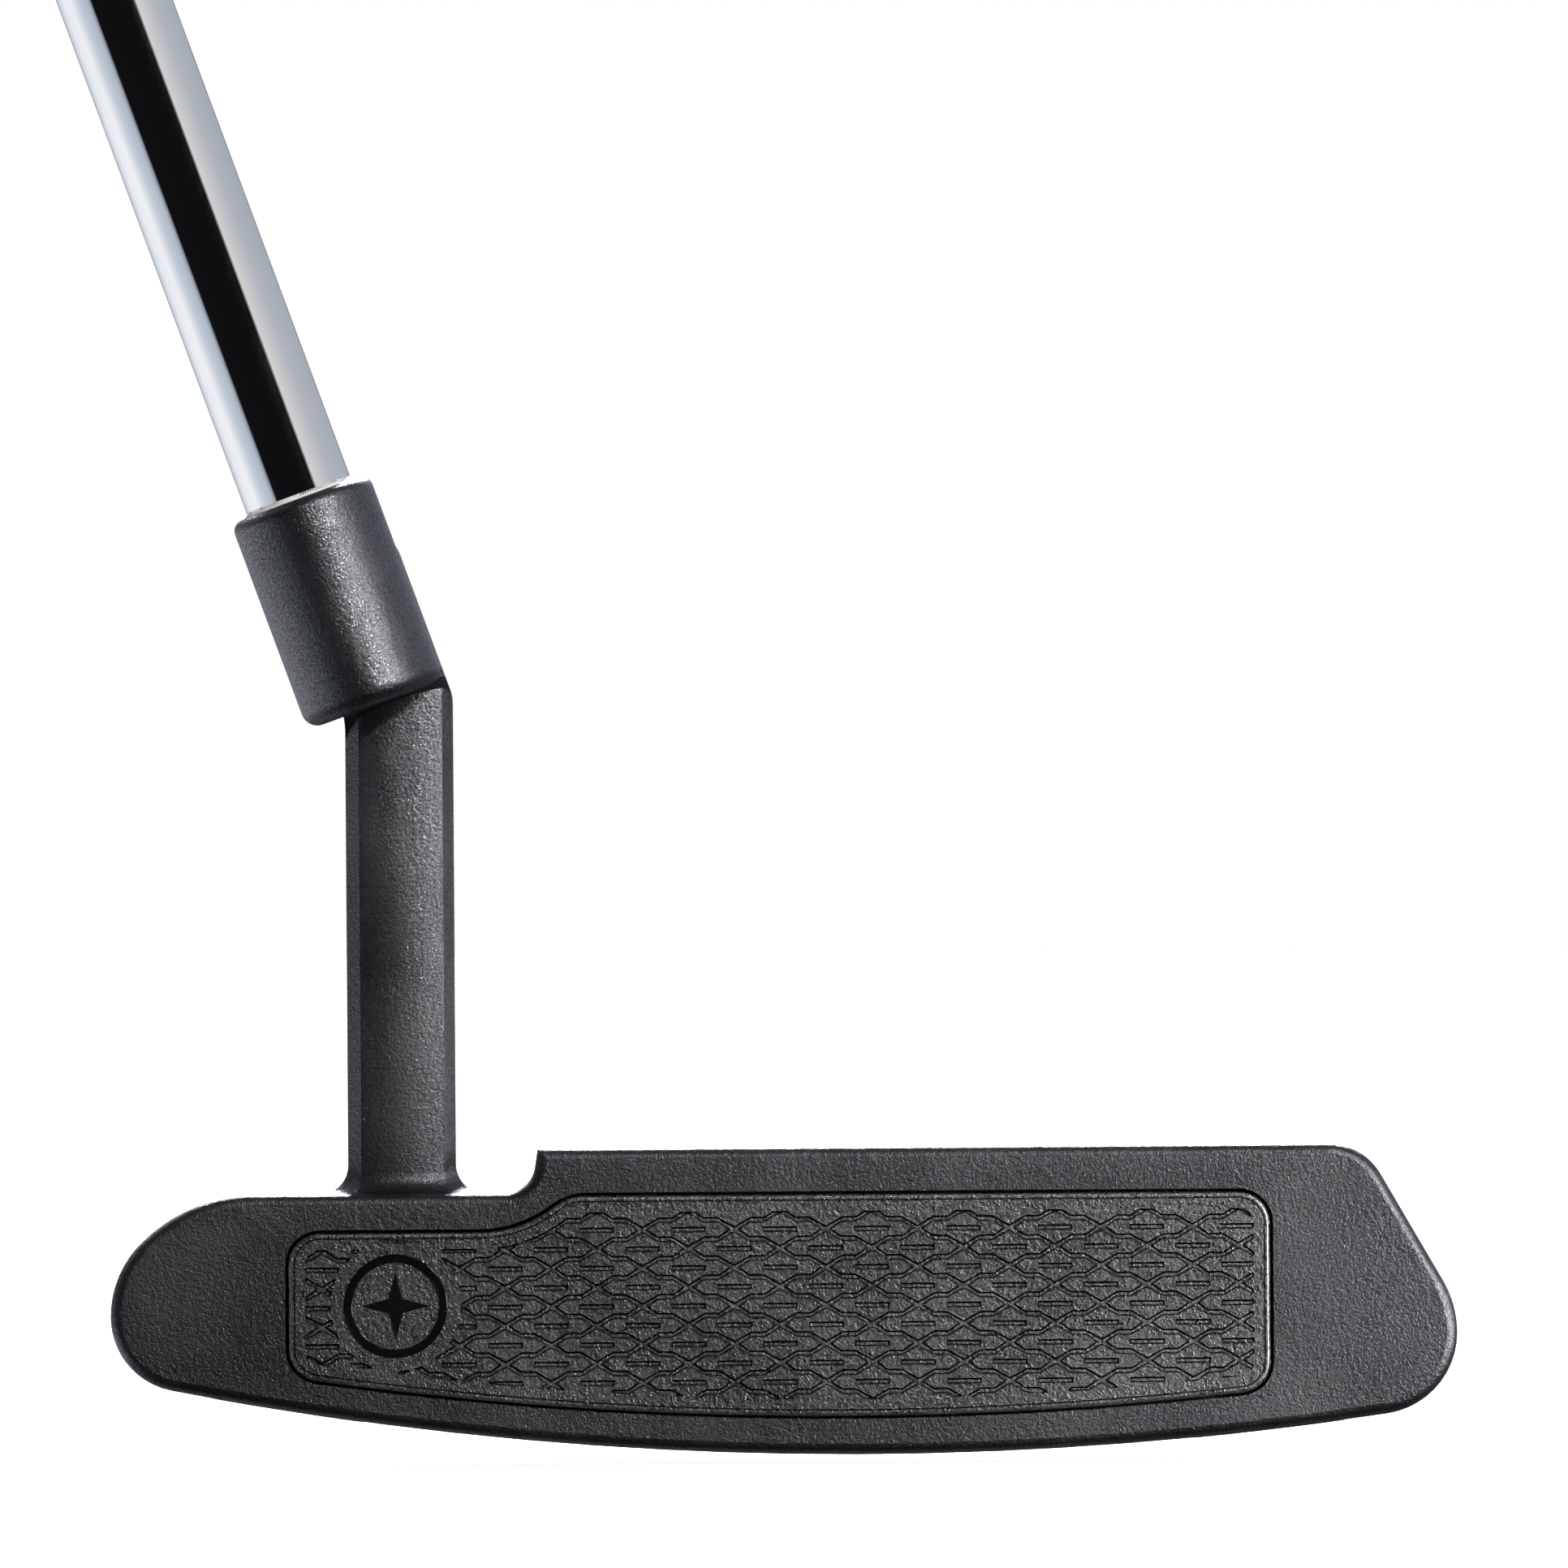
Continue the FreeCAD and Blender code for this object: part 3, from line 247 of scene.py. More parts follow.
CAD_SLOTS = {
    "head_body": "blasted_steel",
    "insert_adhesive": "adhesive_film",
    "sight_line_fill": "sight_paint",
    "heel_weight": "weight_steel",
    "toe_weight": "weight_steel",
    "heel_weight_washer": "nylon",
    "toe_weight_washer": "nylon",
    "shaft_tip_plug": "nylon",
    "grip_tape": "grip_tape_paper",
}
for name, slot in CAD_SLOTS.items():
    for place in nodes[name].material_slots:
        place.material = MATERIALS[slot]


# ---------------------------------------------------------------- mesh helpers

def new_piece(name, corners, faces, home, slot, node_name, smooth_below=30.0):
    """Closed mesh from millimetre corners in the frame home; edges sharper than smooth_below stay crisp."""
    mesh = bpy.data.meshes.new(name)
    mesh.from_pydata([(home @ Vector(c)) * MM for c in corners], [], faces)
    tidy = bmesh.new()
    tidy.from_mesh(mesh)
    bmesh.ops.recalc_face_normals(tidy, faces=tidy.faces)
    for face in tidy.faces:
        face.smooth = True
    for edge in tidy.edges:
        edge.smooth = len(edge.link_faces) == 2 and edge.calc_face_angle(0.0) < math.radians(smooth_below)
    tidy.to_mesh(mesh)
    tidy.free()
    mesh.materials.append(MATERIALS[slot])
    made = bpy.data.objects.new(name, mesh)
    bpy.context.scene.collection.objects.link(made)
    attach(made, "root")
    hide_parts(node_name)
    return made


def ring_faces(rows, around, closed=False):
    """Quads between consecutive rings of the same count; closed joins the last ring to the first."""
    faces = []
    for row in range(rows if closed else rows - 1):
        here, there = row * around, (row + 1) % rows * around
        for i in range(around):
            j = (i + 1) % around
            faces.append((here + i, here + j, there + j, there + i))
    return faces


def turned(name, outline, slot, node_name, around, wobble=None):
    """Closed (radius, height) outline turned about the shaft's axis."""
    corners = []
    for radius, height in outline:
        for i in range(around):
            turn = 2 * math.pi * i / around
            out, up = wobble(radius, height, turn) if wobble else (0.0, 0.0)
            reach = radius + out
            corners.append((reach * math.cos(turn), reach * math.sin(turn), height + up))
    return new_piece(name, corners, ring_faces(len(outline), around, closed=True), SHAFT, slot, node_name)


def arc_points(centre, radius, start, end, steps):
    """Points on an arc, in degrees."""
    return [(centre[0] + radius * math.cos(math.radians(start + (end - start) * i / steps)),
             centre[1] + radius * math.sin(math.radians(start + (end - start) * i / steps)))
            for i in range(steps + 1)]


# ---------------------------------------------------------------- patterned face insert

# The plate's outline, seen square to the face, and its front's depth behind the face.
INSERT_FRONT = 0.2
INSERT_THICKNESS = 3.0
EMBLEM = (-40.61, 13.04)
BOTTOM_RADIUS = 319.8
BOTTOM_Z = 3.35
BOTTOM = (-1.7, BOTTOM_Z + BOTTOM_RADIUS)
CORNER = 2.7
HEEL_X, TOE_X = -49.8, 34.35
LOW_TOP, HIGH_TOP = 19.28, 22.35
RAMP_START, RAMP_RUN, RAMP_RADIUS = -33.5, 9.1, 10.8
BOTTOM_STEPS, CORNER_STEPS, HIGH_RAMP_STEPS, LOW_RAMP_STEPS = 48, 12, 10, 14
# Chamfer round the front, then a fine engraved line: (inwards from the outline, depth behind the front).
PLATE_BACK = [(0.0, INSERT_THICKNESS)]
CHAMFER = [(0.0, 0.25), (0.04, 0.17), (0.17, 0.04), (0.25, 0.0)]
ENGRAVED = [(0.42, 0.0), (0.46, 0.07), (0.52, 0.07), (0.56, 0.0)]
FIELD_EDGE = [(0.9, 0.0)]
# One cell of the lattice, the slot in its middle, and the recessed channels between cells.
CELL = [(3.4, 0.0), (2.6, 0.56), (1.4, 0.56), (0.0, 1.35), (-1.4, 0.56), (-2.6, 0.56),
        (-3.4, 0.0), (-2.6, -0.56), (-1.4, -0.56), (0.0, -1.35), (1.4, -0.56), (2.6, -0.56)]
PITCH_X, PITCH_Z = 7.86, 1.64
FIRST_CELL = (0.20, 19.40)
ROWS, COLUMNS = range(-1, 13), range(-7, 6)
CELL_MARGIN = 3.0
CELL_REACH = 4.5
SLOT_HALF = (1.5, 0.245)
WALL = 0.14
DEPTH = 0.22
PATTERN_INSET = 1.4
EMBLEM_CLEAR = 5.6
CLEAR_STEPS = 120
# Larger than any distance here, and how near two points may be to count as one.
FAR, NEAR = 1e9, 1e-5
# Lines of the pattern end this far inside the plain edge.
LINE_CLEARANCE = 0.05
# Tones of painted light: a painted highlight on the chamfer, painted shade on the engraved line and on the
# pattern's walls, darkest on walls that face down; and the slopes that count as walls.
CHAMFER_HIGHLIGHT, ENGRAVED_SHADE, UPPER_WALL_SHADE, LOWER_WALL_SHADE = -1.0, 0.8, 1.0, 0.8
STEEPEST, SHALLOWEST = -0.2, -0.97


def insert_outline(grow):
    """Insert outline moved outwards by grow, always with the same number of points."""
    turn = 2 * math.degrees(math.atan((HIGH_TOP - LOW_TOP) / RAMP_RUN))
    high_radius = RAMP_RUN / math.sin(math.radians(turn)) - RAMP_RADIUS
    drop = BOTTOM_RADIUS - CORNER
    toe_x, heel_x = TOE_X - CORNER, HEEL_X + CORNER
    toe = (toe_x, BOTTOM[1] - math.sqrt(drop ** 2 - (toe_x - BOTTOM[0]) ** 2))
    heel = (heel_x, BOTTOM[1] - math.sqrt(drop ** 2 - (heel_x - BOTTOM[0]) ** 2))
    toe_angle = math.degrees(math.atan2(toe[1] - BOTTOM[1], toe[0] - BOTTOM[0]))
    heel_angle = math.degrees(math.atan2(heel[1] - BOTTOM[1], heel[0] - BOTTOM[0]))
    corner = CORNER + grow
    ramp_end = RAMP_START + RAMP_RUN
    points = arc_points(BOTTOM, BOTTOM_RADIUS + grow, heel_angle, toe_angle, BOTTOM_STEPS)
    points += arc_points(toe, corner, toe_angle, 0, CORNER_STEPS)[1:]
    points += arc_points((toe_x, HIGH_TOP - CORNER), corner, 0, 90, CORNER_STEPS)
    points += arc_points((ramp_end, HIGH_TOP - high_radius), high_radius + grow, 90, 90 + turn,
                         HIGH_RAMP_STEPS)
    points += arc_points((RAMP_START, LOW_TOP + RAMP_RADIUS), RAMP_RADIUS - grow, turn - 90, -90,
                         LOW_RAMP_STEPS)[1:]
    points += arc_points((heel_x, LOW_TOP - CORNER), corner, 90, 180, CORNER_STEPS)
    points += arc_points(heel, corner, 180, 360 + heel_angle, CORNER_STEPS)[:-1]
    return points


def grown(polygon, grow):
    """Mitred offset of a counter-clockwise polygon."""
    count = len(polygon)
    result = []
    for i in range(count):
        before, here, after = (np.array(polygon[(i + k) % count]) for k in (-1, 0, 1))
        one = (here - before) / np.linalg.norm(here - before)
        two = (after - here) / np.linalg.norm(after - here)
        out_one, out_two = np.array((one[1], -one[0])), np.array((two[1], -two[0]))
        middle = out_one + out_two
        result.append(tuple(here + middle * grow / (middle @ out_one)))
    return result


def distance_inside(points, polygon):
    """Distance to the polygon's edge, positive inside and negative outside."""
    nearest = np.full(len(points), FAR)
    inside = np.zeros(len(points), bool)
    for i in range(len(polygon)):
        a, b = np.array(polygon[i - 1]), np.array(polygon[i])
        along = np.clip(((points - a) @ (b - a)) / ((b - a) @ (b - a)), 0, 1)
        nearest = np.minimum(nearest, np.linalg.norm(points - a - along[:, None] * (b - a), axis=1))
        crosses = (a[1] > points[:, 1]) != (b[1] > points[:, 1])
        with np.errstate(divide="ignore", invalid="ignore"):
            at = a[0] + (points[:, 1] - a[1]) * (b[0] - a[0]) / (b[1] - a[1])
        inside ^= crosses & (points[:, 0] < at)
    return np.where(inside, nearest, -nearest)


def cell_centres():
    """Brick-like lattice of cells that reaches into the patterned part of the insert."""
    centres = []
    for row in ROWS:
        z = FIRST_CELL[1] - (row - 1) * PITCH_Z
        shift = PITCH_X / 2 if row % 2 == 0 else 0.0
        for column in COLUMNS:
            x = FIRST_CELL[0] + shift + column * PITCH_X
            if HEEL_X - CELL_MARGIN < x < TOE_X + CELL_MARGIN:
                centres.append((x, z))
    return centres


def pattern_height(points, centres, region):
    """Zero on the islands and the plain border, falling over a sloped wall to the channel floor."""
    border = np.minimum(distance_inside(points, region),
                        np.linalg.norm(points - np.array(EMBLEM), axis=1) - EMBLEM_CLEAR)
    room = np.full(len(points), FAR)
    for centre in centres:
        near = np.where(np.abs(points - centre).max(axis=1) < CELL_REACH)[0]
        if not len(near):
            continue
        local = points[near] - centre
        deep = distance_inside(local, CELL)
        slot = np.minimum(SLOT_HALF[0] - np.abs(local[:, 0]), SLOT_HALF[1] - np.abs(local[:, 1]))
        room[near] = np.minimum(room[near], np.where(deep >= -NEAR / 10, slot, -deep))
    return -DEPTH * np.clip(np.minimum(border, room) / WALL, 0, 1)


# Halvings that find where a line meets its clearance.
HALVINGS = 24


class Open(list):
    """Points of a line that doesn't close."""


def clipped(polygon, boundary):
    """Edges of a polygon as open lines, cut off where they come too near the boundary."""
    kept = distance_inside(polygon, boundary) > LINE_CLEARANCE
    lines = []
    for i in range(len(polygon)):
        j = (i + 1) % len(polygon)
        if kept[i] and kept[j]:
            lines.append(Open([tuple(polygon[i]), tuple(polygon[j])]))
        elif kept[i] or kept[j]:
            near, far = (polygon[i], polygon[j]) if kept[i] else (polygon[j], polygon[i])
            low, high = 0.0, 1.0
            for _ in range(HALVINGS):
                middle = (low + high) / 2
                spot = near + (far - near) * middle
                if distance_inside(spot[None], boundary)[0] > LINE_CLEARANCE:
                    low = middle
                else:
                    high = middle
            lines.append(Open([tuple(near), tuple(near + (far - near) * low)]))
    return lines


def pattern_lines(centres, boundary, region):
    """Every line that the field's triangles must follow, the boundary first."""
    loops = [boundary, region, insert_outline(-PATTERN_INSET - WALL)]
    last = 360 - 360 // CLEAR_STEPS
    loops += [arc_points(EMBLEM, EMBLEM_CLEAR + more, 0, last, CLEAR_STEPS - 1) for more in (0.0, WALL)]
    slot_floor = (SLOT_HALF[0] - WALL, SLOT_HALF[1] - WALL)
    shapes = [CELL, grown(CELL, WALL)]
    shapes += [[(sx * half[0], sz * half[1]) for sx, sz in ((1, 1), (-1, 1), (-1, -1), (1, -1))]
               for half in (SLOT_HALF, slot_floor)]
    low, high = np.min(region, axis=0), np.max(region, axis=0)
    for centre in centres:
        for shape in shapes:
            moved = np.array(shape) + centre
            if (moved.max(axis=0) <= low).any() or (moved.min(axis=0) >= high).any():
                continue
            if (distance_inside(moved, boundary) > LINE_CLEARANCE).all():
                loops.append([tuple(p) for p in moved])
            else:
                loops += clipped(moved, boundary)
    return loops


def triangulated(loops):
    """Points, triangles and each point's source points, with every loop's segments kept as edges."""
    flat, edges = [], []
    for loop in loops:
        start, count = len(flat), len(loop)
        flat += [Vector(p) for p in loop]
        segments = count - 1 if isinstance(loop, Open) else count
        edges += [(start + i, start + (i + 1) % count) for i in range(segments)]
    made, _, triangles, origin, _, _ = delaunay_2d_cdt(flat, edges, [], 1, NEAR)
    return np.array([tuple(p) for p in made]), triangles, origin


def tone_edges(plate, around):
    """Face attribute of painted light: a painted highlight on the chamfer, painted shade on the engraved line
    and the pattern's walls.
    """
    chamfer = range(len(PLATE_BACK), len(PLATE_BACK + CHAMFER) - 1)
    engraved = range(len(PLATE_BACK + CHAMFER), len(PLATE_BACK + CHAMFER + ENGRAVED) - 1)
    field = len(PLATE_BACK + CHAMFER + ENGRAVED)
    to_face = FACE.inverted().to_3x3()
    tones = plate.data.attributes.new("painted_light_tone", "FLOAT", "FACE")
    for face in plate.data.polygons:
        ring = face.index // around
        facing = to_face @ face.normal
        tone = 0.0
        # Painted highlight on the chamfer; painted shade on the engraved line and on the pattern's walls,
        # darkest where they face down.
        if ring in chamfer:
            tone = CHAMFER_HIGHLIGHT
        elif ring in engraved:
            tone = ENGRAVED_SHADE
        elif ring >= field and SHALLOWEST < facing.y < STEEPEST:
            tone = UPPER_WALL_SHADE if facing.z < 0 else LOWER_WALL_SHADE
        tones.data[face.index].value = tone


def make_insert():
    """Plate with a chamfer, a fine engraved line round its edge and a field of islands and channels."""
    rings = PLATE_BACK + CHAMFER + ENGRAVED + FIELD_EDGE
    corners = []
    for inwards, depth in rings:
        corners += [(x, INSERT_FRONT + depth, z) for x, z in insert_outline(-inwards)]
    around = len(corners) // len(rings)
    faces = ring_faces(len(rings), around)
    faces.append(tuple(range(around - 1, -1, -1)))

    boundary = insert_outline(-rings[-1][0])
    region = insert_outline(-PATTERN_INSET)
    centres = cell_centres()
    points, triangles, origin = triangulated(pattern_lines(centres, boundary, region))
    heights = pattern_height(points, centres, region)
    first = len(corners) - around
    index = []
    for i, source in enumerate(origin):
        on_boundary = [s for s in source if s < around]
        if on_boundary:
            index.append(first + on_boundary[0])
        else:
            index.append(len(corners))
            corners.append((points[i][0], INSERT_FRONT - heights[i], points[i][1]))
    faces += [tuple(index[k] for k in triangle) for triangle in triangles]
    plate = new_piece("face_insert_milled", corners, faces, FACE, "insert_steel", "face_insert",
                      smooth_below=12.0)
    tone_edges(plate, around)


make_insert()


# ---------------------------------------------------------------- emblem: ring and four-pointed star

RING_OUTER, RING_BAND = 4.44, 0.7
RING_AROUND = 144
EMBLEM_TOP, EMBLEM_BASE = 0.02, 0.2
# Rounded edge of the ring: (inwards from its side, depth behind the face).
RING_EDGE = [(0.0, EMBLEM_BASE), (0.0, 0.075), (0.03, 0.04), (0.09, EMBLEM_TOP)]
STAR_REACH, STAR_WAIST, STAR_POINTS = 2.9, 0.85, 4
# Sides of the star: (share of its full size, depth behind the face). Ridges rise from the last to the middle.
STAR_SIDES = [(1.0, EMBLEM_BASE), (1.0, 0.09), (0.93, 0.055)]


def make_ring():
    middle, half = RING_OUTER - RING_BAND / 2, RING_BAND / 2
    section = [(-half + inwards, depth) for inwards, depth in RING_EDGE]
    section += [(half - inwards, depth) for inwards, depth in reversed(RING_EDGE)]
    corners = []
    for offset, depth in section:
        for i in range(RING_AROUND):
            turn = 2 * math.pi * i / RING_AROUND
            reach = middle + offset
            corners.append((EMBLEM[0] + reach * math.cos(turn), depth, EMBLEM[1] + reach * math.sin(turn)))
    new_piece("emblem_ring_gloss", corners, ring_faces(len(section), RING_AROUND, closed=True), FACE,
              "gloss_black_inlay", "emblem_ring", smooth_below=50.0)


def make_star():
    """Four points, each falling from a ridge, so that the gloss breaks along it."""
    around = 2 * STAR_POINTS
    outline = [(STAR_WAIST if i % 2 else STAR_REACH, 2 * math.pi * i / around) for i in range(around)]
    corners = []
    for scale, depth in STAR_SIDES:
        corners += [(EMBLEM[0] + r * scale * math.cos(a), depth, EMBLEM[1] + r * scale * math.sin(a))
                    for r, a in outline]
    top = len(corners)
    corners.append((EMBLEM[0], EMBLEM_TOP, EMBLEM[1]))
    faces = ring_faces(len(STAR_SIDES), around) + [tuple(range(around - 1, -1, -1))]
    rim = top - around
    faces += [(rim + i, rim + (i + 1) % around, top) for i in range(around)]
    new_piece("emblem_star_gloss", corners, faces, FACE, "gloss_black_inlay", "emblem_star", smooth_below=5.0)


make_ring()
make_star()


# ---------------------------------------------------------------- shaft, epoxy bead, cap

# Heights are along the shaft, from the foot of the sleeve.
CLUB_TOP = 794.918
SHAFT_TIP = 2.7
CAP_THICKNESS = 3.0
SHAFT_BUTT = CLUB_TOP - CAP_THICKNESS
SHAFT_WALL = 0.55
TIP_RADIUS = 4.7
TIP_LENGTH = 180.0
STEPS, STEP_LENGTH, STEP = 12, 28.0, 0.483 / 2
BUTT_RADIUS = TIP_RADIUS + STEPS * STEP
SLEEVE_TOP = 18.8
BORE_RADIUS, BORE_FLOOR = 4.8, 2.4
# Tip chamfer: (in from the radius, up from the tip). The last ring keeps the tube's shading straight.
TIP_CHAMFER = [(0.25, 0.0), (0.07, 0.08), (0.0, 0.25), (0.0, 1.0)]
# One step of the tube: (share of the step, more radius, height). The end rings keep the shading straight.
STEP_RINGS = [(0.0, 0.0, -1.5), (0.0, 0.0, -0.3), (0.0, 0.02, 0.0), (0.5, 0.0, 0.5), (1.0, -0.02, 1.0),
              (1.0, 0.0, 1.3), (1.0, 0.0, 2.5)]
STEP_RINGS_INSIDE = [(0.0, 0.5), (1.0, 1.5)]
BUTT_RING, BUTT_CHAMFER = 1.0, 0.1
# The bead of epoxy on the sleeve: (out from the tube, up from the sleeve).
BEAD = [(0.42, 0.005), (0.41, 0.12), (0.33, 0.25), (0.2, 0.34), (0.06, 0.40), (0.0, 0.415)]
# Waves round the bead: (share, how many, start). They lower it by at most these amounts.
BEAD_WAVES = [(0.2, 3, 0.6), (0.16, 7, 2.0), (0.14, 13, 0.0)]
BEAD_NARROWER, BEAD_LOWER = 0.16, 0.26
# Below this height over the sleeve the epoxy is left alone.
BEAD_LEVEL = 0.01
PLUG_RADIUS = 0.6
VENT_RADIUS = 1.2
CAP_RADIUS = 9.6
CAP_RIM_DROP = 0.4
PLUG_LENGTH, PLUG_LEAD, PLUG_TAPER = 8, 7, 0.5
# The cap's edge: (in from its radius, down from its rim). Its crown: (share of radius, down from the top).
CAP_EDGE = [(0.0, 0.75), (0.08, 0.5), (0.25, 0.32)]
CAP_CROWN = [(0.86, 0.52), (0.84, 0.62), (0.80, 0.62), (0.78, 0.36), (0.6, 0.14), (0.35, 0.04)]
VENT_EDGE = [(0.25, 0.01), (0.0, 0.2)]


def make_shaft():
    outside = [(TIP_RADIUS - inwards, SHAFT_TIP + up) for inwards, up in TIP_CHAMFER]
    inside = [(TIP_RADIUS - SHAFT_WALL, SHAFT_TIP)]
    for i in range(STEPS):
        radius, height = TIP_RADIUS + STEP * i, SHAFT_TIP + TIP_LENGTH + STEP_LENGTH * i
        outside += [(radius + STEP * share + more, height + up) for share, more, up in STEP_RINGS]
        inside += [(radius + STEP * share - SHAFT_WALL, height + up) for share, up in STEP_RINGS_INSIDE]
    outside += [(BUTT_RADIUS, SHAFT_BUTT - BUTT_RING), (BUTT_RADIUS, SHAFT_BUTT - BUTT_CHAMFER),
                (BUTT_RADIUS - BUTT_CHAMFER, SHAFT_BUTT)]
    inside.append((BUTT_RADIUS - SHAFT_WALL, SHAFT_BUTT))
    turned("shaft_tube", outside + inside[::-1], "shaft_chrome", "shaft", around=128)


def make_epoxy():
    """Film in the bore and the squeezed-out bead, uneven round the tube."""
    def wobble(radius, height, turn):
        if height <= SLEEVE_TOP + BEAD_LEVEL or radius <= TIP_RADIUS:
            return 0.0, 0.0
        wave = 0.5 + sum(share * math.sin(count * turn + start) for share, count, start in BEAD_WAVES)
        return -BEAD_NARROWER * (1 - wave), -BEAD_LOWER * (1 - wave)

    outline = [(PLUG_RADIUS, BORE_FLOOR), (BORE_RADIUS, BORE_FLOOR), (BORE_RADIUS, SLEEVE_TOP)]
    outline += [(TIP_RADIUS + out, SLEEVE_TOP + up) for out, up in BEAD]
    inwards, up = TIP_CHAMFER[0][0], TIP_CHAMFER[2][1]
    outline += [(TIP_RADIUS, SHAFT_TIP + up), (TIP_RADIUS - inwards, SHAFT_TIP), (PLUG_RADIUS, SHAFT_TIP)]
    turned("epoxy_bead", outline, "clear_epoxy", "shaft_epoxy", around=144, wobble=wobble)


def make_cap():
    plug = BUTT_RADIUS - SHAFT_WALL
    rim = CLUB_TOP - CAP_RIM_DROP
    outline = [(VENT_RADIUS, SHAFT_BUTT - PLUG_LENGTH), (plug - PLUG_TAPER, SHAFT_BUTT - PLUG_LENGTH),
               (plug, SHAFT_BUTT - PLUG_LEAD), (plug, SHAFT_BUTT), (CAP_RADIUS, SHAFT_BUTT)]
    outline += [(CAP_RADIUS - inwards, rim - down) for inwards, down in CAP_EDGE]
    outline += [(CAP_RADIUS * share, CLUB_TOP - down) for share, down in CAP_CROWN]
    outline += [(VENT_RADIUS + out, CLUB_TOP - down) for out, down in VENT_EDGE]
    turned("grip_cap", outline, "cap_plastic", "grip_end_cap", around=96)


make_shaft()
make_epoxy()
make_cap()


# ---------------------------------------------------------------- grip

GRIP_LENGTH = 266.7
GRIP_START = CLUB_TOP - GRIP_LENGTH
MOUTH_RADIUS = 8.9
GRIP_WIDTH, GRIP_DEPTH = 26.5, 30.5
GRIP_BORE = BUTT_RADIUS + 0.25
# How the depth is shared between thumb side and back, and how fast back and sides swell towards the butt.
THUMB_SHARE, BACK_SHARE = 0.38, 0.62
BACK_POWER, SIDE_POWER = 1.7, 0.7
# Radii as shares of the half width: thumb side's corners, which tighten towards the butt, and the round back.
TIGHT_AT_MOUTH, TIGHT_LOSS, WIDE = 0.96, 0.5, 0.96
FLAT_STEPS, SIDE_STEPS, TIGHT_STEPS, WIDE_STEPS = 34, 14, 12, 30
# Rounds at the mouth and at the butt, with rings close together there and evenly spaced between.
LIP_ROUND, LIP_DEEPEST, BUTT_ROUND = 0.9, 0.85, 2.4
MOUTH_RINGS = [0.0, 0.12, 0.4, 0.9]
FIRST_RING, RING_SPACING, LAST_RING = 1.6, 0.62, 3.2
BUTT_RINGS = [2.9, 2.2, 1.5, 0.95, 0.6, 0.4]
BORE_START = 0.25
# The moulded pattern starts and ends this far from the ends, and fades in over PATTERN_FADE.
PATTERN_START, PATTERN_END, PATTERN_FADE = 12, 16, 2
PANEL_START, PANEL_END, PANEL_HALF_WIDTH = 26, 30, 0.78
RIB_SPACING, RIB_DEPTH, RIB_POWER = 3.0, 0.32, 0.7
DIMPLES_AROUND, DIMPLE_HEIGHT, DIMPLE_DEPTH = 26, 3.4, 0.34
DIMPLE_STEEPNESS, DIMPLE_BORDER = 1.5, 0.28


def grip_ring(share, shrink=0.0):
    """One section: flat thumb side on +X, rounded back on -X; same number of points for every share."""
    front = MOUTH_RADIUS + (GRIP_DEPTH * THUMB_SHARE - MOUTH_RADIUS) * share - shrink
    behind = MOUTH_RADIUS + (GRIP_DEPTH * BACK_SHARE - MOUTH_RADIUS) * share ** BACK_POWER - shrink
    half = MOUTH_RADIUS + (GRIP_WIDTH / 2 - MOUTH_RADIUS) * share ** SIDE_POWER - shrink
    tight = half * (TIGHT_AT_MOUTH - TIGHT_LOSS * share)
    wide = min(half, behind) * WIDE
    points = [(front, -(half - tight) + 2 * (half - tight) * i / FLAT_STEPS) for i in range(FLAT_STEPS)]
    points += arc_points((front - tight, half - tight), tight, 0, 90, TIGHT_STEPS)[:-1]
    start, end = front - tight, -behind + wide
    points += [(start + (end - start) * i / SIDE_STEPS, half) for i in range(SIDE_STEPS)]
    points += arc_points((end, half - wide), wide, 90, 180, WIDE_STEPS)[:-1]
    points += arc_points((end, -(half - wide)), wide, 180, 270, WIDE_STEPS)
    points += [(end + (start - end) * (i + 1) / SIDE_STEPS, -half) for i in range(SIDE_STEPS - 1)]
    points += arc_points((front - tight, -(half - tight)), tight, 270, 360, TIGHT_STEPS)[:-1]
    return points


def grip_relief(round_share, height, width_from_middle):
    """How far the surface lies under the skin: a dimpled back and sides, a plain ribbed thumb panel."""
    if height < PATTERN_START or height > GRIP_LENGTH - PATTERN_END:
        return 0.0
    fade = min(1.0, (height - PATTERN_START) / PATTERN_FADE,
               (GRIP_LENGTH - PATTERN_END - height) / PATTERN_FADE)
    if width_from_middle is not None:
        if abs(width_from_middle) > PANEL_HALF_WIDTH or not PANEL_START < height < GRIP_LENGTH - PANEL_END:
            return 0.0
        return RIB_DEPTH * fade * max(0.0, math.sin(2 * math.pi * height / RIB_SPACING)) ** RIB_POWER
    u, v = round_share * DIMPLES_AROUND, height / DIMPLE_HEIGHT
    one, two = math.sin(math.pi * (u + v)), math.sin(math.pi * (u - v))
    return DIMPLE_DEPTH * fade * max(0.0, min(abs(one), abs(two)) * DIMPLE_STEEPNESS - DIMPLE_BORDER)


def rounded_in(radius, from_end):
    """How far a round of this radius has drawn the surface in, at a distance from the end."""
    if from_end >= radius:
        return 0.0
    return radius - math.sqrt(max(0.0, radius ** 2 - (radius - from_end) ** 2))


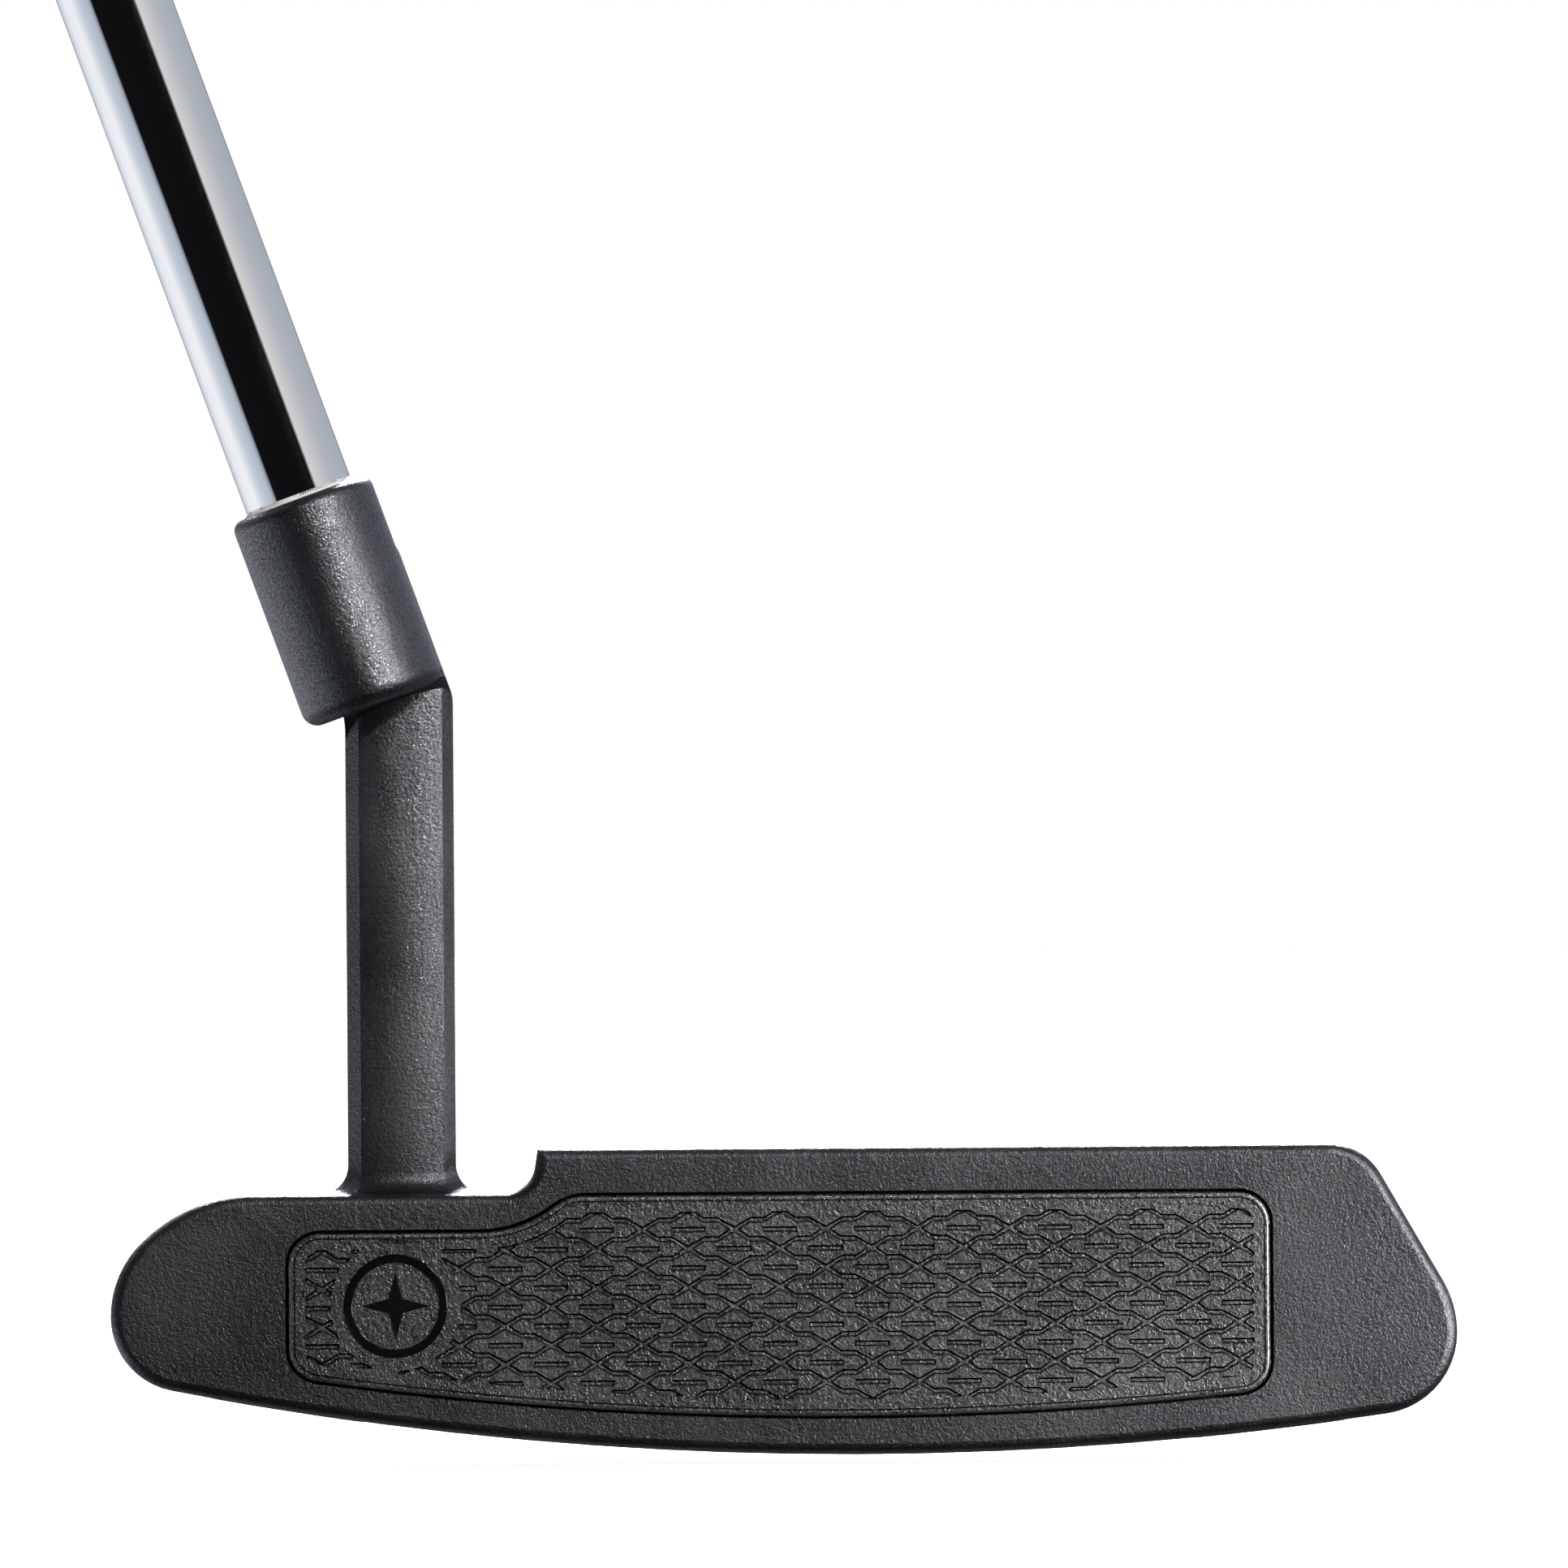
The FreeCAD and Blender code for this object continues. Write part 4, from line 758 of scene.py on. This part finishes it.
def make_grip():
    around = len(grip_ring(0.5))
    heights = MOUTH_RINGS + list(np.arange(FIRST_RING, GRIP_LENGTH - LAST_RING, RING_SPACING))
    heights += [GRIP_LENGTH - left for left in BUTT_RINGS]
    end = heights[-1]
    corners = []

    def circle(radius, height):
        for x, y in grip_ring(0.0):
            reach = radius / math.hypot(x, y)
            corners.append((x * reach, y * reach, GRIP_START + height))

    circle(GRIP_BORE, BORE_START)
    for height in heights:
        shrink = min(rounded_in(LIP_ROUND, height), LIP_DEEPEST) + rounded_in(BUTT_ROUND, end - height)
        for i, (x, y) in enumerate(grip_ring(height / end, shrink)):
            across = 2 * i / FLAT_STEPS - 1 if i <= FLAT_STEPS else None
            dip = grip_relief((i - FLAT_STEPS) / (around - FLAT_STEPS), height, across)
            kept = 1 - dip / math.hypot(x, y)
            corners.append((x * kept, y * kept, GRIP_START + height))
    circle(CAP_RADIUS, end)
    circle(CAP_RADIUS, GRIP_LENGTH - CAP_THICKNESS)
    circle(GRIP_BORE, GRIP_LENGTH - CAP_THICKNESS)
    rows = len(corners) // around
    new_piece("grip_moulded", corners, ring_faces(rows, around, closed=True), SHAFT, "grip_rubber", "grip",
              smooth_below=50.0)


make_grip()

# The insert, emblem, shaft, epoxy, cap and grip are replaced above; every other CAD node is shown as it is.


# ---------------------------------------------------------------- studio

WARM = (1.0, 0.985, 0.96)


def area_light(name, place, target, size, power, colour=(1, 1, 1), cone=180):
    lamp = bpy.data.lights.new(name, "AREA")
    lamp.shape = "RECTANGLE"
    lamp.size, lamp.size_y = size
    lamp.energy = power
    lamp.color = colour
    lamp.spread = math.radians(cone)
    made = bpy.data.objects.new(name, lamp)
    made.location = place
    made.rotation_euler = (Vector(target) - Vector(place)).to_track_quat("-Z", "Y").to_euler()
    made.visible_camera = False
    bpy.context.scene.collection.objects.link(made)


# The world as a light: degrees round the shaft's axis from straight ahead (minus is heel side), colour.
WORLD_STOPS = [
    (-180, (0.02, 0.02, 0.025)), (-172, (0.06, 0.06, 0.065)), (-160, (0.55, 0.60, 0.68)),
    (-128, (0.92, 0.95, 1.0)), (-100, (1.0, 1.0, 1.0)), (-75, (0.62, 0.67, 0.76)), (-56, (0.50, 0.55, 0.63)),
    (-50, (0.30, 0.33, 0.38)), (-47, (0.006, 0.006, 0.007)), (38, (0.005, 0.005, 0.005)),
    (41, (0.30, 0.29, 0.28)), (43, (0.75, 0.74, 0.72)), (55, (0.66, 0.66, 0.66)), (85, (0.50, 0.52, 0.56)),
    (125, (0.44, 0.48, 0.54)), (158, (0.40, 0.44, 0.50)), (171, (0.10, 0.10, 0.11)),
    (180, (0.02, 0.02, 0.025)),
]
# Full strength inside a band square to the shaft, then down to these: in front, behind, and added overhead.
BAND_INNER, BAND_OUTER = 0.10, 0.30
WORLD_IN_FRONT, WORLD_BEHIND, WORLD_ABOVE = 0.06, 0.30, 0.12
BEHIND_FROM, IN_FRONT_FROM = -0.25, 0.05
ABOVE_FROM, ABOVE_FULL = 0.35, 0.65


def dot(tree, direction, axis):
    return node(tree, "ShaderNodeVectorMath", {0: direction, 1: axis},
                operation="DOT_PRODUCT").outputs["Value"]


def make_world():
    """White seen directly; as a light, a band square to the shaft, bright at both sides and dark in front."""
    world = bpy.data.worlds.new("studio")
    world.use_nodes = True
    bpy.context.scene.world = world
    tree = world.node_tree
    tree.nodes.clear()
    where = node(tree, "ShaderNodeTexCoord").outputs["Generated"]
    across = dot(tree, where, (math.cos(LEAN), 0, math.sin(LEAN)))
    ahead = dot(tree, where, (0, -1, 0))
    along = dot(tree, where, (-math.sin(LEAN), 0, math.cos(LEAN)))
    up = dot(tree, where, (0, 0, 1))
    turn = add(tree, across, ahead, "ARCTAN2")
    ramp = node(tree, "ShaderNodeValToRGB", {"Fac": spread(tree, turn, -math.pi, math.pi, 0.0, 1.0)})
    band = ramp.color_ramp
    for angle, colour in WORLD_STOPS[1:-1]:
        band.elements.new((angle + 180) / 360).color = (*colour, 1)
    band.elements[0].color = (*WORLD_STOPS[0][1], 1)
    band.elements[-1].color = (*WORLD_STOPS[-1][1], 1)
    outside = add(tree, spread(tree, ahead, BEHIND_FROM, IN_FRONT_FROM, WORLD_BEHIND, WORLD_IN_FRONT),
                  spread(tree, up, ABOVE_FROM, ABOVE_FULL, 0.0, WORLD_ABOVE))
    off_band = node(tree, "ShaderNodeMath", {0: along}, operation="ABSOLUTE").outputs["Value"]
    power = spread(tree, off_band, BAND_INNER, BAND_OUTER, 1.0, outside)
    light = node(tree, "ShaderNodeBackground", {"Color": ramp.outputs["Color"], "Strength": power})
    white = node(tree, "ShaderNodeBackground", {"Color": (1, 1, 1, 1), "Strength": 1.0})
    seen = node(tree, "ShaderNodeLightPath").outputs["Is Camera Ray"]
    mixed = node(tree, "ShaderNodeMixShader", {0: seen, 1: light.outputs[0], 2: white.outputs[0]})
    node(tree, "ShaderNodeOutputWorld", {"Surface": mixed.outputs[0]})


FLOOR_REACH, FLOOR_LEVEL = 12.0, -0.0008
FLOOR_COLOUR, FLOOR_ROUGH, FLOOR_GLOW = (0.78, 0.78, 0.79, 1), 0.8, 0.95


def make_floor():
    """Plain pale floor just under the sole."""
    made = bpy.data.materials.new("floor_white")
    made.use_nodes = True
    tree = made.node_tree
    shader = tree.nodes["Principled BSDF"]
    shader.inputs["Base Color"].default_value = FLOOR_COLOUR
    shader.inputs["Roughness"].default_value = FLOOR_ROUGH
    glow = node(tree, "ShaderNodeEmission", {"Color": (1, 1, 1, 1), "Strength": FLOOR_GLOW})
    seen = node(tree, "ShaderNodeLightPath").outputs["Is Camera Ray"]
    glow_seen = node(tree, "ShaderNodeMixShader", {0: seen, 2: glow.outputs[0]})
    total = node(tree, "ShaderNodeAddShader", {0: shader.outputs[0], 1: glow_seen.outputs[0]})
    tree.links.new(total.outputs[0], tree.nodes["Material Output"].inputs["Surface"])
    mesh = bpy.data.meshes.new("floor")
    corners = [(x * FLOOR_REACH, y * FLOOR_REACH, FLOOR_LEVEL)
               for x, y in ((-1, -1), (1, -1), (1, 1), (-1, 1))]
    mesh.from_pydata(corners, [], [(0, 1, 2, 3)])
    mesh.materials.append(made)
    floor = bpy.data.objects.new("floor", mesh)
    floor.visible_glossy = False
    bpy.context.scene.collection.objects.link(floor)


def make_sky():
    """Broad light from above and in front that whitens the floor and stays out of reflections."""
    lamp = bpy.data.lights.new("sky", "SUN")
    lamp.energy = 1.9
    lamp.angle = math.radians(35)
    sky = bpy.data.objects.new("sky", lamp)
    sky.rotation_euler = Vector((-0.25, 0.75, -1.1)).to_track_quat("-Z", "Y").to_euler()
    sky.visible_glossy = False
    bpy.context.scene.collection.objects.link(sky)


CAMERA_DISTANCE, CAMERA_ROLL = 4.0, math.radians(-0.397)
SEEN_WIDTH, SEEN_CENTRE = 0.13435, (-0.00704, 0.057507)
SENSOR_WIDTH = 36.0


def make_camera():
    """Level, long lens, looking square at the face, rolled by less than half a degree."""
    lens = bpy.data.cameras.new("camera")
    lens.sensor_width = SENSOR_WIDTH
    lens.lens = SENSOR_WIDTH * CAMERA_DISTANCE / SEEN_WIDTH
    lens.clip_start, lens.clip_end = 0.05, 60.0
    made = bpy.data.objects.new("camera", lens)
    place = Matrix.Translation((SEEN_CENTRE[0], -CAMERA_DISTANCE, SEEN_CENTRE[1]))
    level = Matrix.Rotation(math.pi / 2, 4, "X")
    made.matrix_world = place @ level @ Matrix.Rotation(CAMERA_ROLL, 4, "Z")
    bpy.context.scene.collection.objects.link(made)
    bpy.context.scene.camera = made


make_world()
make_floor()
# Places and sizes in metres, power in watts, cone in degrees. Those that light the front lie off the plane
# square to the shaft, so that they leave no streak in the chrome.
area_light("key", (0.26, -0.55, 0.37), target=(-0.01, 0.0, 0.04), size=(0.10, 0.10), power=1.0, colour=WARM)
area_light("near_key", (0.19, -0.21, 0.06), target=(0.03, 0.0, 0.015), size=(0.06, 0.06), power=0.025,
           colour=WARM, cone=50)
area_light("neck_light", (0.18, -0.41, 0.24), target=(-0.042, 0.0, 0.060), size=(0.03, 0.03), power=0.0026,
           colour=WARM, cone=8)
area_light("toe_side", (0.12, -0.035, 0.02), target=(0.045, 0.0, 0.012), size=(0.05, 0.05), power=0.003,
           cone=34)
area_light("behind_head", (0.02, 0.62, 0.45), target=(-0.01, 0.01, 0.02), size=(0.25, 0.25), power=1.4,
           cone=60)
area_light("grip_front", (0.10, -1.2, 1.15), target=(-0.28, 0.0, 0.70), size=(0.4, 0.4), power=2.5, cone=40)
area_light("grip_behind", (-0.75, 1.1, 1.1), target=(-0.28, 0.0, 0.68), size=(0.4, 0.4), power=2.5, cone=40)
make_sky()
make_camera()
bpy.context.scene.view_settings.view_transform = "Standard"
